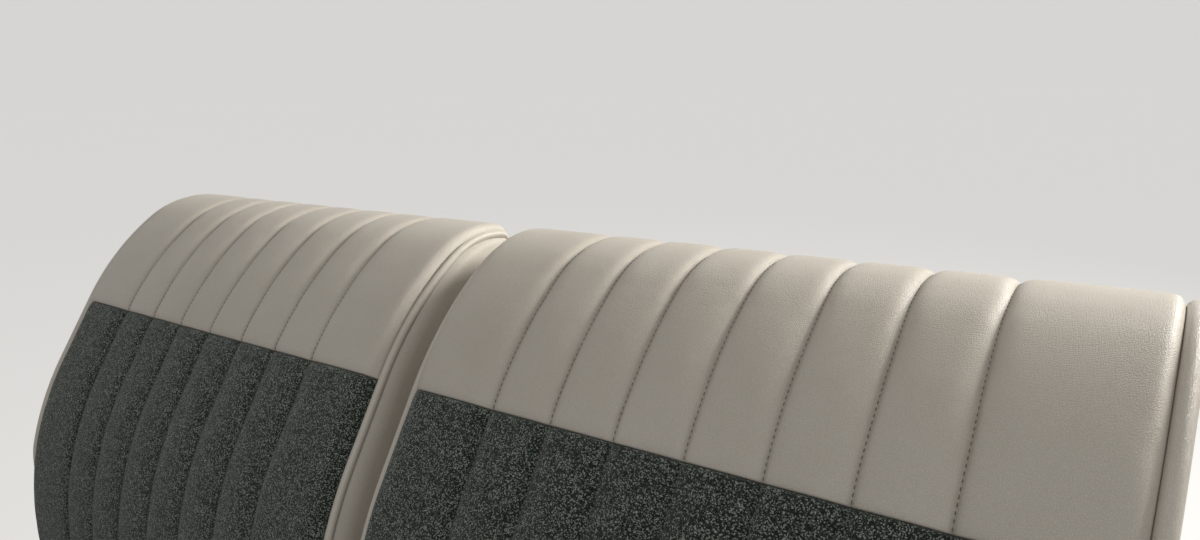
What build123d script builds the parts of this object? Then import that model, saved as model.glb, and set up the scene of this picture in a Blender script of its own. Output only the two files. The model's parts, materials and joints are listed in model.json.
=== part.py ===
"""Front bench seat of a two-door family car of the nineteen fifties.

One sprung cushion on a sliding steel frame, and two separate backs that fold forward
for the passengers behind. Millimetres. The origin is the centre of the four floor
bolts, on the floor. +Z is up, +Y runs to the rear of the car, so the seat faces -Y,
and +X is the side of the driver.
"""

import os
from math import cos, radians, sin

from build123d import *

# Backs: pleats, seams and width
PLEAT_PITCH = 62.0          # one stitched pleat
PLEAT_COUNT = 6             # narrow pleats between the two plain side panels
SIDE_PANEL = 103.0          # plain panel at each side of the pleats
BACK_GAP = 42.0             # between the two backs
PLEAT_ROUND = 9.0           # how far a pleat rounds down into its stitch line
EDGE_ROUND = 15.0           # rounding of a back's outer edges
PAD_DEPTH = 40.0            # pleated layer over the core

# Backs: the side outline, walked upwards from the foremost point of the face; leans and
# headings are in degrees
FACE_Y = 190.0              # foremost point of the face
FACE_Z = 445.0
LUMBAR_RADIUS = 400.0       # lower face
LUMBAR_LEAN_LOW = -22.0     # lean from upright where the face ends below
LUMBAR_LEAN_HIGH = 33.0     # lean where the lower face runs out
WAIST_RUN = 80.0            # straight stretch up to the seam of cloth and vinyl
SHOULDER_RADIUS = 340.0     # above the seam
SHOULDER_LEAN = 58.0
CROWN_RADIUS = 120.0        # roll over the top
CROWN_LEAN = 100.0
REAR_EDGE_RADIUS = 28.0     # top rear edge
REAR_LEAN_TOP = 214.0       # heading of the rear face under that edge, going down
REAR_RADIUS = 1370.0        # hollow of the rear face
REAR_LEAN_LOW = 192.0       # its heading at the foot
REAR_BOARD = 4.0            # covered board on the rear face
BOARD_INSET = 32.0          # from the sides of the back
BOARD_LEAN_TRIM = 2.0       # board ends this many degrees of arc short, top and bottom

# Hinges
HINGE_BEHIND_FACE = 35.0
HINGE_BELOW_FACE = 90.0
PIN_RADIUS = 8.0
PIN_CLEARANCE = 0.06
ARM_THICK = 4.0
ARM_EYE = 18.0
ARM_TOP_BEHIND = 40.0       # upper screw of an arm, from the hinge
ARM_TOP_ABOVE = 125.0
ARM_TOP_EYE = 14.0
LOWER_TUBE_RADIUS = 9.0
LOWER_TUBE_BEHIND = 50.0    # from the hinge
LOWER_TUBE_BELOW = 60.0
LOWER_TUBE_EYE = 15.0
BRACKET_THICK = 5.0
BRACKET_EYE = 20.0
BRACKET_FOOT = 120.0
WASHER_GAP = 1.0
PIN_HEAD_RADIUS = 14.0
PIN_HEAD = 4.0
CENTRE_PLATE = 10.0
COLLAR_RADIUS = 12.0

# Frame and springs
TUBE = 25.0                 # square tube
TUBE_WALL = 2.0
FRAME_INSET = 6.5           # each side of the frame lies this far inside the backs
FRAME_FRONT = -290.0
FRAME_REAR = 225.0
FRAME_BASE = 135.0          # underside of the frame, above the floor
SPRING_COUNT = 7
SPRING_PITCH = 150.0
SPRING_WIDTH = 44.0
SPRING_WIRE = 4.0
SPRING_BENDS = 14
SEAT_GAP = 0.3              # soft or curved pieces lie this far off what carries them

# Cushion
CUSHION_INSET = 6.0         # each side of the cushion lies this far inside the backs
CUSHION_FRONT = -310.0
CUSHION_REAR = 196.0
CUSHION_TOP_REAR = 312.0
CUSHION_TOP_FRONT = 330.0
FRONT_ROLL = 60.0           # length of the plain roll at the front
FRONT_ROLL_RADIUS = 34.0
INSERT_DEPTH = 22.0
INSERT_EDGE = 8.0
INSERT_REAR_ROUND = 14.0
CUSHION_CORNER = 18.0
RIB_GAP = 1.0               # between the middle rib of the cushion and each insert
RIB_ROUND = 8.0
RIB_SINK = 1.0              # its crest lies this far under the inserts

# Rear crossmember
SHEET = 2.0
SHELF_TOP = 265.0
SHELF_REAR = 292.0
SHELF_LIP = 20.0
LIGHTENING_RADIUS = 34.0
LIGHTENING_COUNT = 6
LIGHTENING_PITCH = 180.0
BUFFER_RADIUS = 12.0
BUFFER_SPACING = 420.0

# Rails, risers and adjuster
RAIL_TRACK = 860.0          # between the centres of the two rails
RAIL_OVERHANG = 30.0        # rails run on beyond the floor bolts by this
RAIL_BASE = 105.0
RAIL_WIDTH = 40.0
RAIL_HEIGHT = 22.0
RAIL_WALL = 2.5
RAIL_SLOT = 14.0
RUNNER_STEM = 8.0
RUNNER_PLATE = 3.0
RUNNER_TOP_WIDTH = 36.0
SIDE_CLEARANCE = 0.5
BOLT_SPACING_Y = 370.0
BOLT_HOLE_RADIUS = 5.5
RISER_SHEET = 3.0
RISER_WIDTH = 44.0
RISER_FOOT = 44.0
RISER_TOP = 50.0
RISER_SLOPE = 14.0
NOTCH_COUNT = 9
NOTCH_PITCH = 18.0
NOTCH_WIDTH = 9.0
NOTCH_DEPTH = 8.0
STRIP_THICK = 3.0
STRIP_HEIGHT = 16.0
LEVER_RADIUS = 5.0
LEVER_CLEARANCE = 5.0
CLIP_RADIUS = 8.0
CLIP_WIDTH = 14.0
REAR_CLIP_Y = -60.0
LEVER_REACH = 50.0          # in front of the frame
LEVER_TURN = 90.0           # length of the grip
VALANCE_DROP = 0.0          # how far the valances reach below the frame
VALANCE_OUT = 12.0          # front valance stands out from the frame's front tube

# Worked out from the values above
BACK_WIDTH = PLEAT_COUNT * PLEAT_PITCH + 2 * SIDE_PANEL
BACK_INNER = BACK_GAP / 2
BACK_OUTER = BACK_INNER + BACK_WIDTH
HINGE_Y = FACE_Y + HINGE_BEHIND_FACE
HINGE_Z = FACE_Z - HINGE_BELOW_FACE
LOWER_TUBE_Y = HINGE_Y + LOWER_TUBE_BEHIND
LOWER_TUBE_Z = HINGE_Z - LOWER_TUBE_BELOW
FRAME_TOP = FRAME_BASE + TUBE
SPRING_BASE = FRAME_TOP + SEAT_GAP
CUSHION_BASE = SPRING_BASE + SPRING_WIRE + SEAT_GAP
OUTER_ARM_X = BACK_OUTER + SEAT_GAP
BRACKET_X = OUTER_ARM_X + ARM_THICK + WASHER_GAP
INNER_ARM_X = BACK_INNER - SEAT_GAP
RAIL_X = RAIL_TRACK / 2
RAIL_LENGTH = BOLT_SPACING_Y + 2 * RAIL_OVERHANG
FRAME_WIDTH = 2 * (BACK_OUTER - FRAME_INSET)
CUSHION_WIDTH = 2 * (BACK_OUTER - CUSHION_INSET)


class Walk:
    """A side outline in the Y-Z plane, walked by headings.

    A heading is the lean from upright: 0 goes up, 90 to the rear, 180 down.
    A positive turn bends to the rear while going up.
    """

    def __init__(self, y, z, lean, inset=0.0):
        self.inset = inset
        self.lean = lean
        self.y = y + inset * cos(radians(lean))
        self.z = z - inset * sin(radians(lean))
        self.edges = []

    def place(self):
        return Vector(0, self.y, self.z)

    def run(self, length):
        start = self.place()
        self.y += length * sin(radians(self.lean))
        self.z += length * cos(radians(self.lean))
        self.edges.append(Line(start, self.place()))
        return self

    def bend(self, radius, lean_to):
        turn = 1.0 if lean_to > self.lean else -1.0
        radius = radius - turn * self.inset
        start = self.place()
        middle = (self.lean + lean_to) / 2
        centre_y = self.y + turn * radius * cos(radians(self.lean))
        centre_z = self.z - turn * radius * sin(radians(self.lean))

        def at(lean):
            return (centre_y - turn * radius * cos(radians(lean)),
                    centre_z + turn * radius * sin(radians(lean)))

        half = Vector(0, *at(middle))
        self.y, self.z = at(lean_to)
        self.lean = lean_to
        self.edges.append(ThreePointArc(start, half, self.place()))
        return self


def lower_start():
    """Lowest point of the face, on the lumbar arc."""
    lean = radians(LUMBAR_LEAN_LOW)
    return FACE_Y + LUMBAR_RADIUS * (1 - cos(lean)), FACE_Z + LUMBAR_RADIUS * sin(lean)


def lower_face(inset):
    """Face from its lower end up to the seam."""
    y, z = lower_start()
    walk = Walk(y, z, LUMBAR_LEAN_LOW, inset)
    walk.bend(LUMBAR_RADIUS, LUMBAR_LEAN_HIGH).run(WAIST_RUN)
    return walk


def upper_face(inset):
    """Face from the seam over the crown to the top rear edge."""
    seam = lower_face(0)
    walk = Walk(seam.y, seam.z, LUMBAR_LEAN_HIGH, inset)
    walk.bend(SHOULDER_RADIUS, SHOULDER_LEAN).bend(CROWN_RADIUS, CROWN_LEAN)
    return walk


def first(walk):
    return walk.edges[0] @ 0


def layer_face(outer, inner):
    """Closed face between an outline and its inset copy."""
    sides = [Line(first(outer), first(inner)), Line(outer.place(), inner.place())]
    return Face(Wire(outer.edges + inner.edges + sides))


def slab(face, x, width):
    """The face pushed out along +X from x."""
    return Pos(x, 0, 0) * extrude(face, amount=width, dir=(1, 0, 0))


def edges_along(solid, walk, x):
    """Edges of a slab that follow a walk, on its end face at x."""
    marks = [edge @ 0.5 + Vector(x, 0, 0) for edge in walk.edges]
    return [e for e in solid.edges() if any((e @ 0.5 - m).length < 0.01 for m in marks)]


def pleat_table(inner_side):
    """Panels of a back: columns x, width, rounding at the left, rounding at the right."""
    edge, pleat = EDGE_ROUND, PLEAT_ROUND
    rows = [(0, SIDE_PANEL, edge, pleat)]
    for number in range(PLEAT_COUNT):
        rows.append((SIDE_PANEL + number * PLEAT_PITCH, PLEAT_PITCH, pleat, pleat))
    rows.append((BACK_WIDTH - SIDE_PANEL, SIDE_PANEL, pleat, edge))
    return [(inner_side + x, width, left, right) for x, width, left, right in rows]


def pleated(outer, inner, low_x):
    """Pleated pad: one rounded bar for each panel, joined side by side."""
    face = layer_face(outer, inner)
    bars = []
    for x, width, left, right in pleat_table(low_x):
        bar = slab(face, x, width)
        bar = fillet(edges_along(bar, outer, x), left)
        bar = fillet(edges_along(bar, outer, x + width), right)
        bars.append(bar)
    pad = bars[0]
    for bar in bars[1:]:
        pad = pad + bar
    return pad


def back_low_x(side):
    """Lowest x of a back; side is 1 for the driver's, -1 for the passenger's."""
    return BACK_INNER if side > 0 else -BACK_OUTER


def upper_pad(side):
    """Vinyl pad from the seam over the crown."""
    return pleated(upper_face(0), upper_face(PAD_DEPTH), back_low_x(side))


def lower_pad(side):
    """Cloth pad below the seam."""
    return pleated(lower_face(0), lower_face(PAD_DEPTH), back_low_x(side))


def rear_face():
    """Rear of the back from the crown's end down to the lower rear edge."""
    crown = upper_face(0)
    walk = Walk(crown.y, crown.z, CROWN_LEAN)
    walk.bend(REAR_EDGE_RADIUS, REAR_LEAN_TOP)
    walk.bend(REAR_RADIUS, REAR_LEAN_LOW)
    return walk


def back_core(side):
    """Stuffed body of the back behind the pads, with the plain side bands."""
    lower, upper, rear = lower_face(PAD_DEPTH), upper_face(PAD_DEPTH), rear_face()
    edges = lower.edges + upper.edges + rear.edges
    edges += [Line(upper.place(), first(rear)), Line(rear.place(), first(lower))]
    core = slab(Face(Wire(edges)), back_low_x(side), BACK_WIDTH)
    for x in (back_low_x(side), back_low_x(side) + BACK_WIDTH):
        core = fillet(edges_along(core, rear, x), EDGE_ROUND / 2)
    return core


def rear_board(side):
    """Covered board on the rear face."""
    top = Walk(*rear_start(), REAR_LEAN_TOP)
    lean_from = REAR_LEAN_TOP - BOARD_LEAN_TRIM
    lean_to = REAR_LEAN_LOW + BOARD_LEAN_TRIM
    top.bend(REAR_RADIUS, lean_from)
    inner = Walk(top.y, top.z, lean_from).bend(REAR_RADIUS, lean_to)
    outer = Walk(top.y, top.z, lean_from, -REAR_BOARD).bend(REAR_RADIUS, lean_to)
    board = slab(layer_face(outer, inner), back_low_x(side) + BOARD_INSET, BACK_WIDTH - 2 * BOARD_INSET)
    return fillet(board.edges().filter_by(lambda e: e.length < REAR_BOARD + 0.1), BOARD_INSET / 2)


def rear_start():
    """Top of the hollow rear face."""
    crown = upper_face(0)
    walk = Walk(crown.y, crown.z, CROWN_LEAN).bend(REAR_EDGE_RADIUS, REAR_LEAN_TOP)
    return walk.y, walk.z


def disc(y, z, radius, x, thick):
    """Round plate facing along X, from x to x + thick."""
    return Pos(x, y, z) * Rot(0, 90, 0) * Cylinder(radius, thick, align=(Align.CENTER, Align.CENTER, Align.MIN))


def link_plate(eyes, x, thick):
    """Flat plate round a row of eyes; columns y, z, radius."""
    rounds = [Pos(y, z, 0) * Circle(radius) for y, z, radius in eyes]
    outline = make_hull([edge for circle in rounds for edge in circle.edges()])
    return Pos(x, 0, 0) * extrude(Plane.YZ * outline, amount=thick, dir=(1, 0, 0))


def hinge_arm(x):
    """Steel arm: eye on the hinge pin, lobe on the lower tube, upper screw eye."""
    upper = (HINGE_Y + ARM_TOP_BEHIND, HINGE_Z + ARM_TOP_ABOVE, ARM_TOP_EYE)
    eye = (HINGE_Y, HINGE_Z, ARM_EYE)
    lobe = (LOWER_TUBE_Y, LOWER_TUBE_Z, LOWER_TUBE_EYE)
    arm = link_plate([upper, eye, lobe], x, ARM_THICK)
    hole = disc(HINGE_Y, HINGE_Z, PIN_RADIUS + PIN_CLEARANCE, x - 1, ARM_THICK + 2)
    return arm - hole


def arm_x(side, outer):
    """Lower x face of an arm of a back."""
    if outer:
        return OUTER_ARM_X if side > 0 else -OUTER_ARM_X - ARM_THICK
    return INNER_ARM_X - ARM_THICK if side > 0 else -INNER_ARM_X


def lower_tube(side):
    """Tube across the foot of a back, between its two arms."""
    near = arm_x(side, side < 0) + ARM_THICK
    far = arm_x(side, side > 0)
    tube = disc(LOWER_TUBE_Y, LOWER_TUBE_Z, LOWER_TUBE_RADIUS, near, far - near)
    return tube - disc(LOWER_TUBE_Y, LOWER_TUBE_Z, LOWER_TUBE_RADIUS - TUBE_WALL, near, far - near)


def outer_bracket(side):
    """Pressed bracket on the frame's rear corner, with the hinge pin riveted in."""
    foot_low = HINGE_Y - BRACKET_FOOT * 0.6
    toe = BRACKET_EYE / 2
    feet = [(foot_low, FRAME_TOP + toe, toe), (foot_low + BRACKET_FOOT, FRAME_TOP + toe, toe)]
    plate = link_plate(feet + [(HINGE_Y, HINGE_Z, BRACKET_EYE)], BRACKET_X, BRACKET_THICK)
    foot_x = FRAME_WIDTH / 2 - TUBE
    foot_length = FRAME_REAR - foot_low - toe
    foot = Pos(foot_x, foot_low + toe, FRAME_TOP) * box_up(BRACKET_X - foot_x, foot_length, SHEET)
    pin_length = BRACKET_X + BRACKET_THICK + PIN_HEAD - OUTER_ARM_X
    pin = disc(HINGE_Y, HINGE_Z, PIN_RADIUS, OUTER_ARM_X, pin_length)
    head = disc(HINGE_Y, HINGE_Z, PIN_HEAD_RADIUS, BRACKET_X + BRACKET_THICK, PIN_HEAD)
    head = chamfer(head.edges().sort_by(Axis.X)[-1], PIN_HEAD / 2)
    bracket = plate + foot + pin + head
    return bracket if side > 0 else mirror(bracket, about=Plane.YZ)


def centre_bracket():
    """Upright between the two backs, with one pin that carries both inner arms."""
    foot_y = (FRAME_REAR + SHELF_REAR) / 2
    stem = link_plate([(foot_y, SHELF_TOP + BRACKET_EYE, BRACKET_EYE),
                       (HINGE_Y, HINGE_Z, BRACKET_EYE)], -CENTRE_PLATE / 2, CENTRE_PLATE)
    foot = Pos(-BACK_GAP / 2, foot_y - BRACKET_EYE, SHELF_TOP) * box_up(BACK_GAP, 2 * BRACKET_EYE, SHEET)
    pin = disc(HINGE_Y, HINGE_Z, PIN_RADIUS, -INNER_ARM_X, 2 * INNER_ARM_X)
    collar_half = INNER_ARM_X - ARM_THICK - WASHER_GAP
    collar = disc(HINGE_Y, HINGE_Z, COLLAR_RADIUS, -collar_half, 2 * collar_half)
    return stem + foot + pin + collar


def box_up(size_x, size_y, size_z):
    """Block with its lowest corner at the origin."""
    return Box(size_x, size_y, size_z, align=(Align.MIN, Align.MIN, Align.MIN))


def square_tube(x, y, size_x, size_y):
    """Hollow square tube of the frame, open at the ends of its long side."""
    outer = Pos(x, y, FRAME_BASE) * box_up(size_x, size_y, TUBE)
    inner = TUBE - 2 * TUBE_WALL
    if size_x > size_y:
        bore = Pos(x, y + TUBE_WALL, FRAME_BASE + TUBE_WALL) * box_up(size_x, inner, inner)
    else:
        bore = Pos(x + TUBE_WALL, y, FRAME_BASE + TUBE_WALL) * box_up(inner, size_y, inner)
    return outer - bore


def frame_tubes():
    """Welded frame as its tubes; each row is name, x, y, length along x, length along y."""
    half = FRAME_WIDTH / 2
    inside = FRAME_FRONT + TUBE
    between = FRAME_REAR - TUBE - inside
    rows = [
        ("frame_tube_front", -half, FRAME_FRONT, FRAME_WIDTH, TUBE),
        ("frame_tube_rear", -half, FRAME_REAR - TUBE, FRAME_WIDTH, TUBE),
        ("frame_tube_side_right", -half, inside, TUBE, between),
        ("frame_tube_side_left", half - TUBE, inside, TUBE, between),
        ("frame_beam_right", -RAIL_X - TUBE / 2, inside, TUBE, between),
        ("frame_beam_left", RAIL_X - TUBE / 2, inside, TUBE, between),
    ]
    return {name: square_tube(x, y, size_x, size_y) for name, x, y, size_x, size_y in rows}


def zigzag_spring(x):
    """Flat zigzag spring from the front tube to the rear tube."""
    front = FRAME_FRONT + TUBE / 2
    pitch = (FRAME_REAR - TUBE / 2 - front) / SPRING_BENDS
    straight = SPRING_WIDTH - pitch
    sides = []
    for inset in (-SPRING_WIRE / 2, SPRING_WIRE / 2):
        walk = Walk(front, -straight / 2, 0, inset).run(straight)
        for bend in range(SPRING_BENDS):
            walk.bend(pitch / 2, 180 if bend % 2 == 0 else 0).run(straight)
        sides.append(walk)
    flat = Rot(0, 90, 0) * slab(layer_face(*sides), 0, SPRING_WIRE)
    return Pos(x, 0, SPRING_BASE + SPRING_WIRE) * flat


def springs():
    """Row of zigzag springs under the cushion."""
    places = [(number - (SPRING_COUNT - 1) / 2) * SPRING_PITCH for number in range(SPRING_COUNT)]
    return Compound([zigzag_spring(x).solid() for x in places])


def cushion_base():
    """Vinyl cushion box with a roll across its front edge."""
    roll_rear = CUSHION_FRONT + FRONT_ROLL
    roll_top = CUSHION_TOP_FRONT + INSERT_DEPTH
    points = [
        (CUSHION_REAR, CUSHION_BASE),
        (CUSHION_REAR, CUSHION_TOP_REAR),
        (roll_rear, CUSHION_TOP_FRONT),
        (roll_rear, roll_top),
        (CUSHION_FRONT, roll_top),
        (CUSHION_FRONT, CUSHION_BASE),
    ]
    outline = Polyline([Vector(0, y, z) for y, z in points], close=True)
    body = slab(Face(Wire(outline.edges())), -CUSHION_WIDTH / 2, CUSHION_WIDTH)
    long_edges = body.edges().filter_by(Axis.X)
    roll = [e for e in long_edges if (e @ 0.5).Y < CUSHION_FRONT + 1 and (e @ 0.5).Z > roll_top - 1]
    body = fillet(roll, FRONT_ROLL_RADIUS)
    ends = [e for e in body.edges().filter_by(Axis.Z)
            if (e @ 0.5).Y < CUSHION_FRONT + 1 and e.length > FRONT_ROLL]
    return fillet(ends, CUSHION_CORNER) + middle_rib()


def middle_rib():
    """Plain vinyl rib of the cushion between its two cloth inserts."""
    _, face = insert_section()
    half = BACK_INNER - RIB_GAP
    rib = slab(face, -half, 2 * half)
    crest = [e for e in rib.edges() if abs((e @ 0.5).X) > half - 0.01 and insert_crest(e @ 0.5)]
    rib = fillet(crest, RIB_ROUND)
    return Pos(0, 0, -RIB_SINK) * rib


def insert_crest(point):
    """Whether a point lies at the middle of an insert's upper line."""
    crest = insert_section()[0] @ 0.5
    return abs(point.Y - crest.Y) < 1 and abs(point.Z - crest.Z) < 1


def insert_section():
    """Section of a cloth insert: its upper line lies parallel over the cushion's top."""
    front_y = CUSHION_FRONT + FRONT_ROLL + SEAT_GAP
    top_rear = CUSHION_TOP_REAR + INSERT_DEPTH
    top_front = CUSHION_TOP_FRONT + INSERT_DEPTH
    drop = INSERT_REAR_ROUND
    slope = (top_front - top_rear) / (CUSHION_REAR - front_y)
    crest = Line((0, front_y, top_front), (0, CUSHION_REAR - drop, top_rear + slope * drop))
    round_end = Vector(0, CUSHION_REAR, top_rear - drop)
    half = Vector(0, CUSHION_REAR - drop * (1 - sin(radians(45))), top_rear - drop * (1 - cos(radians(45))))
    nose = ThreePointArc(crest @ 1, half, round_end)
    low_rear = Vector(0, CUSHION_REAR, CUSHION_TOP_REAR + SEAT_GAP)
    low_front = Vector(0, front_y, CUSHION_TOP_FRONT + SEAT_GAP)
    rest = Polyline([round_end, low_rear, low_front, crest @ 0])
    return crest, Face(Wire([crest, nose] + rest.edges()))


def cushion_insert(side):
    """Pleated cloth insert in the top of the cushion, in line with the pleats of the back."""
    _, face = insert_section()
    limit = CUSHION_WIDTH / 2 - INSERT_EDGE
    bars = []
    for x, width, _, _ in pleat_table(back_low_x(side)):
        low, high = max(x, -limit), min(x + width, limit)
        bar = slab(face, low, high - low)
        top = [e for e in bar.edges() if insert_crest(e @ 0.5)]
        bars.append(fillet(top, PLEAT_ROUND))
    pad = bars[0]
    for bar in bars[1:]:
        pad = pad + bar
    return pad


def rear_crossmember():
    """Folded sheet on the rear tube, with the shelf that carries the stop buffers."""
    low_x = -FRAME_WIDTH / 2
    height = SHELF_TOP - FRAME_BASE
    web = Pos(low_x, FRAME_REAR, FRAME_BASE) * box_up(FRAME_WIDTH, SHEET, height)
    shelf_depth = SHELF_REAR - FRAME_REAR
    shelf = Pos(low_x, FRAME_REAR, SHELF_TOP - SHEET) * box_up(FRAME_WIDTH, shelf_depth, SHEET)
    lip = Pos(low_x, SHELF_REAR - SHEET, SHELF_TOP - SHELF_LIP) * box_up(FRAME_WIDTH, SHEET, SHELF_LIP)
    member = web + shelf + lip
    middle = (FRAME_TOP + SHELF_TOP) / 2
    for number in range(LIGHTENING_COUNT):
        x = (number - (LIGHTENING_COUNT - 1) / 2) * LIGHTENING_PITCH
        hole = Pos(x, FRAME_REAR, middle) * Rot(90, 0, 0) * Cylinder(LIGHTENING_RADIUS, 4 * SHEET)
        member = member - hole
    return member


def stop_buffers():
    """Rubber buffers on the shelf, on which the lower tubes of the backs rest."""
    height = LOWER_TUBE_Z - LOWER_TUBE_RADIUS - SEAT_GAP - SHELF_TOP
    middle = BACK_INNER + BACK_WIDTH / 2
    places = [side * middle + way * BUFFER_SPACING / 2 for side in (-1, 1) for way in (-1, 1)]
    standing = (Align.CENTER, Align.CENTER, Align.MIN)
    buffers = []
    for x in places:
        buffer = Pos(x, LOWER_TUBE_Y, SHELF_TOP) * Cylinder(BUFFER_RADIUS, height, align=standing)
        buffers.append(chamfer(buffer.edges().sort_by(Axis.Z)[-1], 3).solid())
    return Compound(buffers)


def rail(side):
    """Floor rail: a channel with its lips turned in over the runner."""
    wide = RAIL_WIDTH
    outer = Pos(-wide / 2, -RAIL_LENGTH / 2, RAIL_BASE) * box_up(wide, RAIL_LENGTH, RAIL_HEIGHT)
    inner_width = wide - 2 * RAIL_WALL
    inner_height = RAIL_HEIGHT - 2 * RAIL_WALL
    hollow = Pos(-inner_width / 2, -RAIL_LENGTH / 2, RAIL_BASE + RAIL_WALL)
    slot = Pos(-RAIL_SLOT / 2, -RAIL_LENGTH / 2, RAIL_BASE + RAIL_WALL)
    channel = outer - hollow * box_up(inner_width, RAIL_LENGTH, inner_height)
    channel = channel - slot * box_up(RAIL_SLOT, RAIL_LENGTH, RAIL_HEIGHT)
    return Pos(side * RAIL_X, 0, 0) * channel


def runner(side):
    """Runner: a foot that slides in the rail, a stem and the plate under the frame."""
    foot_base = RAIL_BASE + RAIL_WALL + SEAT_GAP
    foot_width = RAIL_WIDTH - 2 * RAIL_WALL - 2 * SIDE_CLEARANCE
    foot = Pos(-foot_width / 2, -RAIL_LENGTH / 2, foot_base) * box_up(foot_width, RAIL_LENGTH, RUNNER_PLATE)
    stem_height = FRAME_BASE - foot_base
    stem = Pos(-RUNNER_STEM / 2, -RAIL_LENGTH / 2, foot_base) * box_up(RUNNER_STEM, RAIL_LENGTH, stem_height)
    top_base = FRAME_BASE - RUNNER_PLATE
    top = Pos(-RUNNER_TOP_WIDTH / 2, -RAIL_LENGTH / 2, top_base)
    top = top * box_up(RUNNER_TOP_WIDTH, RAIL_LENGTH, RUNNER_PLATE)
    return Pos(side * RAIL_X, 0, 0) * (foot + stem + top)


def riser(side, end):
    """Pressed pedestal under a rail's end: bolted foot, sloping web, top plate and side flanges."""
    tip = BOLT_SPACING_Y / 2 + RISER_FOOT / 2
    root = tip - RISER_FOOT
    shoulder = root - RISER_SLOPE
    inner = shoulder - RISER_TOP
    top = RAIL_BASE
    points = [
        (tip, 0), (tip, RISER_SHEET), (root, RISER_SHEET), (shoulder, top),
        (inner, top), (inner, top - RISER_SHEET), (shoulder - RISER_SHEET, top - RISER_SHEET), (root - RISER_SHEET, 0),
    ]
    loop = Polyline([Vector(0, y, z) for y, z in points], close=True)
    folded = slab(Face(Wire(loop.edges())), -RISER_WIDTH / 2, RISER_WIDTH)
    flange_points = [(root, 0), (root, RISER_SHEET), (shoulder, top), (inner, top), (inner, top - RISER_FOOT / 3)]
    flange_loop = Polyline([Vector(0, y, z) for y, z in flange_points], close=True)
    flange = Face(Wire(flange_loop.edges()))
    for x in (-RISER_WIDTH / 2, RISER_WIDTH / 2 - RISER_SHEET):
        folded = folded + slab(flange, x, RISER_SHEET)
    hole = Pos(0, BOLT_SPACING_Y / 2, 0) * Cylinder(BOLT_HOLE_RADIUS, 4 * RISER_SHEET)
    folded = folded - hole
    if end < 0:
        folded = mirror(folded, about=Plane.XZ)
    return Pos(side * RAIL_X, 0, 0) * folded


def latch_strip():
    """Notched strip along the inner wall of the driver's rail."""
    length = NOTCH_COUNT * NOTCH_PITCH + NOTCH_PITCH
    x = RAIL_X - RAIL_WIDTH / 2 - STRIP_THICK
    strip = Pos(x, -length / 2, RAIL_BASE) * box_up(STRIP_THICK, length, STRIP_HEIGHT)
    for number in range(NOTCH_COUNT):
        y = (number - (NOTCH_COUNT - 1) / 2) * NOTCH_PITCH - NOTCH_WIDTH / 2
        notch = Pos(x, y, RAIL_BASE + STRIP_HEIGHT - NOTCH_DEPTH) * box_up(STRIP_THICK, NOTCH_WIDTH, NOTCH_DEPTH)
        strip = strip - notch
    return strip


def lever_x():
    """Lever's centre line, inboard of the notched strip."""
    return RAIL_X - RAIL_WIDTH / 2 - STRIP_THICK - LEVER_CLEARANCE - LEVER_RADIUS


def adjuster_lever():
    """Round lever under the frame: grip bent sideways in front, tooth over the notches behind."""
    x, z = lever_x(), FRAME_BASE - CLIP_RADIUS
    front = FRAME_FRONT - LEVER_REACH
    path = FilletPolyline((x, 0, z), (x, front, z), (x - LEVER_TURN, front, z), radius=4 * LEVER_RADIUS)
    section = Plane(origin=path @ 0, z_dir=path % 0) * Circle(LEVER_RADIUS)
    rod = sweep(section, path=path)
    tooth_base = RAIL_BASE + STRIP_HEIGHT + LEVER_CLEARANCE
    tooth_end = RAIL_X - RAIL_WIDTH / 2 - SIDE_CLEARANCE
    tooth = Pos(x, 0, tooth_base) * box_up(tooth_end - x, NOTCH_WIDTH - 1, STRIP_THICK)
    return rod + tooth


def clip_ring(y):
    """Ring round the lever with a flat tab on top, level with the underside of the frame."""
    x, z = lever_x(), FRAME_BASE - CLIP_RADIUS
    ring = Pos(x, y, z) * Rot(90, 0, 0) * Cylinder(CLIP_RADIUS, CLIP_WIDTH)
    corner = Pos(x - CLIP_RADIUS, y - CLIP_WIDTH / 2, FRAME_BASE - SHEET)
    return ring + corner * box_up(2 * CLIP_RADIUS, CLIP_WIDTH, SHEET)


def lever_clips():
    """Front clip under the front tube, rear clip hung from the side of the beam over the rail."""
    x, z = lever_x(), FRAME_BASE - CLIP_RADIUS
    bore = Pos(x, 0, z) * Rot(90, 0, 0) * Cylinder(LEVER_RADIUS + SEAT_GAP, 2 * RAIL_LENGTH)
    front = clip_ring(FRAME_FRONT + TUBE / 2)
    beam_side = RAIL_X - TUBE / 2
    low_y = REAR_CLIP_Y - CLIP_WIDTH / 2
    tab = Pos(x - CLIP_RADIUS, low_y, FRAME_BASE) * box_up(beam_side - x + CLIP_RADIUS, CLIP_WIDTH, SHEET)
    flange = Pos(beam_side - SHEET, low_y, FRAME_BASE) * box_up(SHEET, CLIP_WIDTH, TUBE - SHEET)
    rear = clip_ring(REAR_CLIP_Y) + tab + flange
    return Compound([(front - bore).solid(), (rear - bore).solid()])


def front_valance():
    """Pressed steel strip that closes the front under the cushion."""
    low = FRAME_BASE - VALANCE_DROP
    high = CUSHION_BASE - SEAT_GAP
    y = FRAME_FRONT - VALANCE_OUT
    face = Pos(-FRAME_WIDTH / 2, y, low) * box_up(FRAME_WIDTH, SHEET, high - low)
    flange = Pos(-FRAME_WIDTH / 2, y, FRAME_TOP) * box_up(FRAME_WIDTH, VALANCE_OUT + TUBE / 4, SHEET)
    return face + flange


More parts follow.
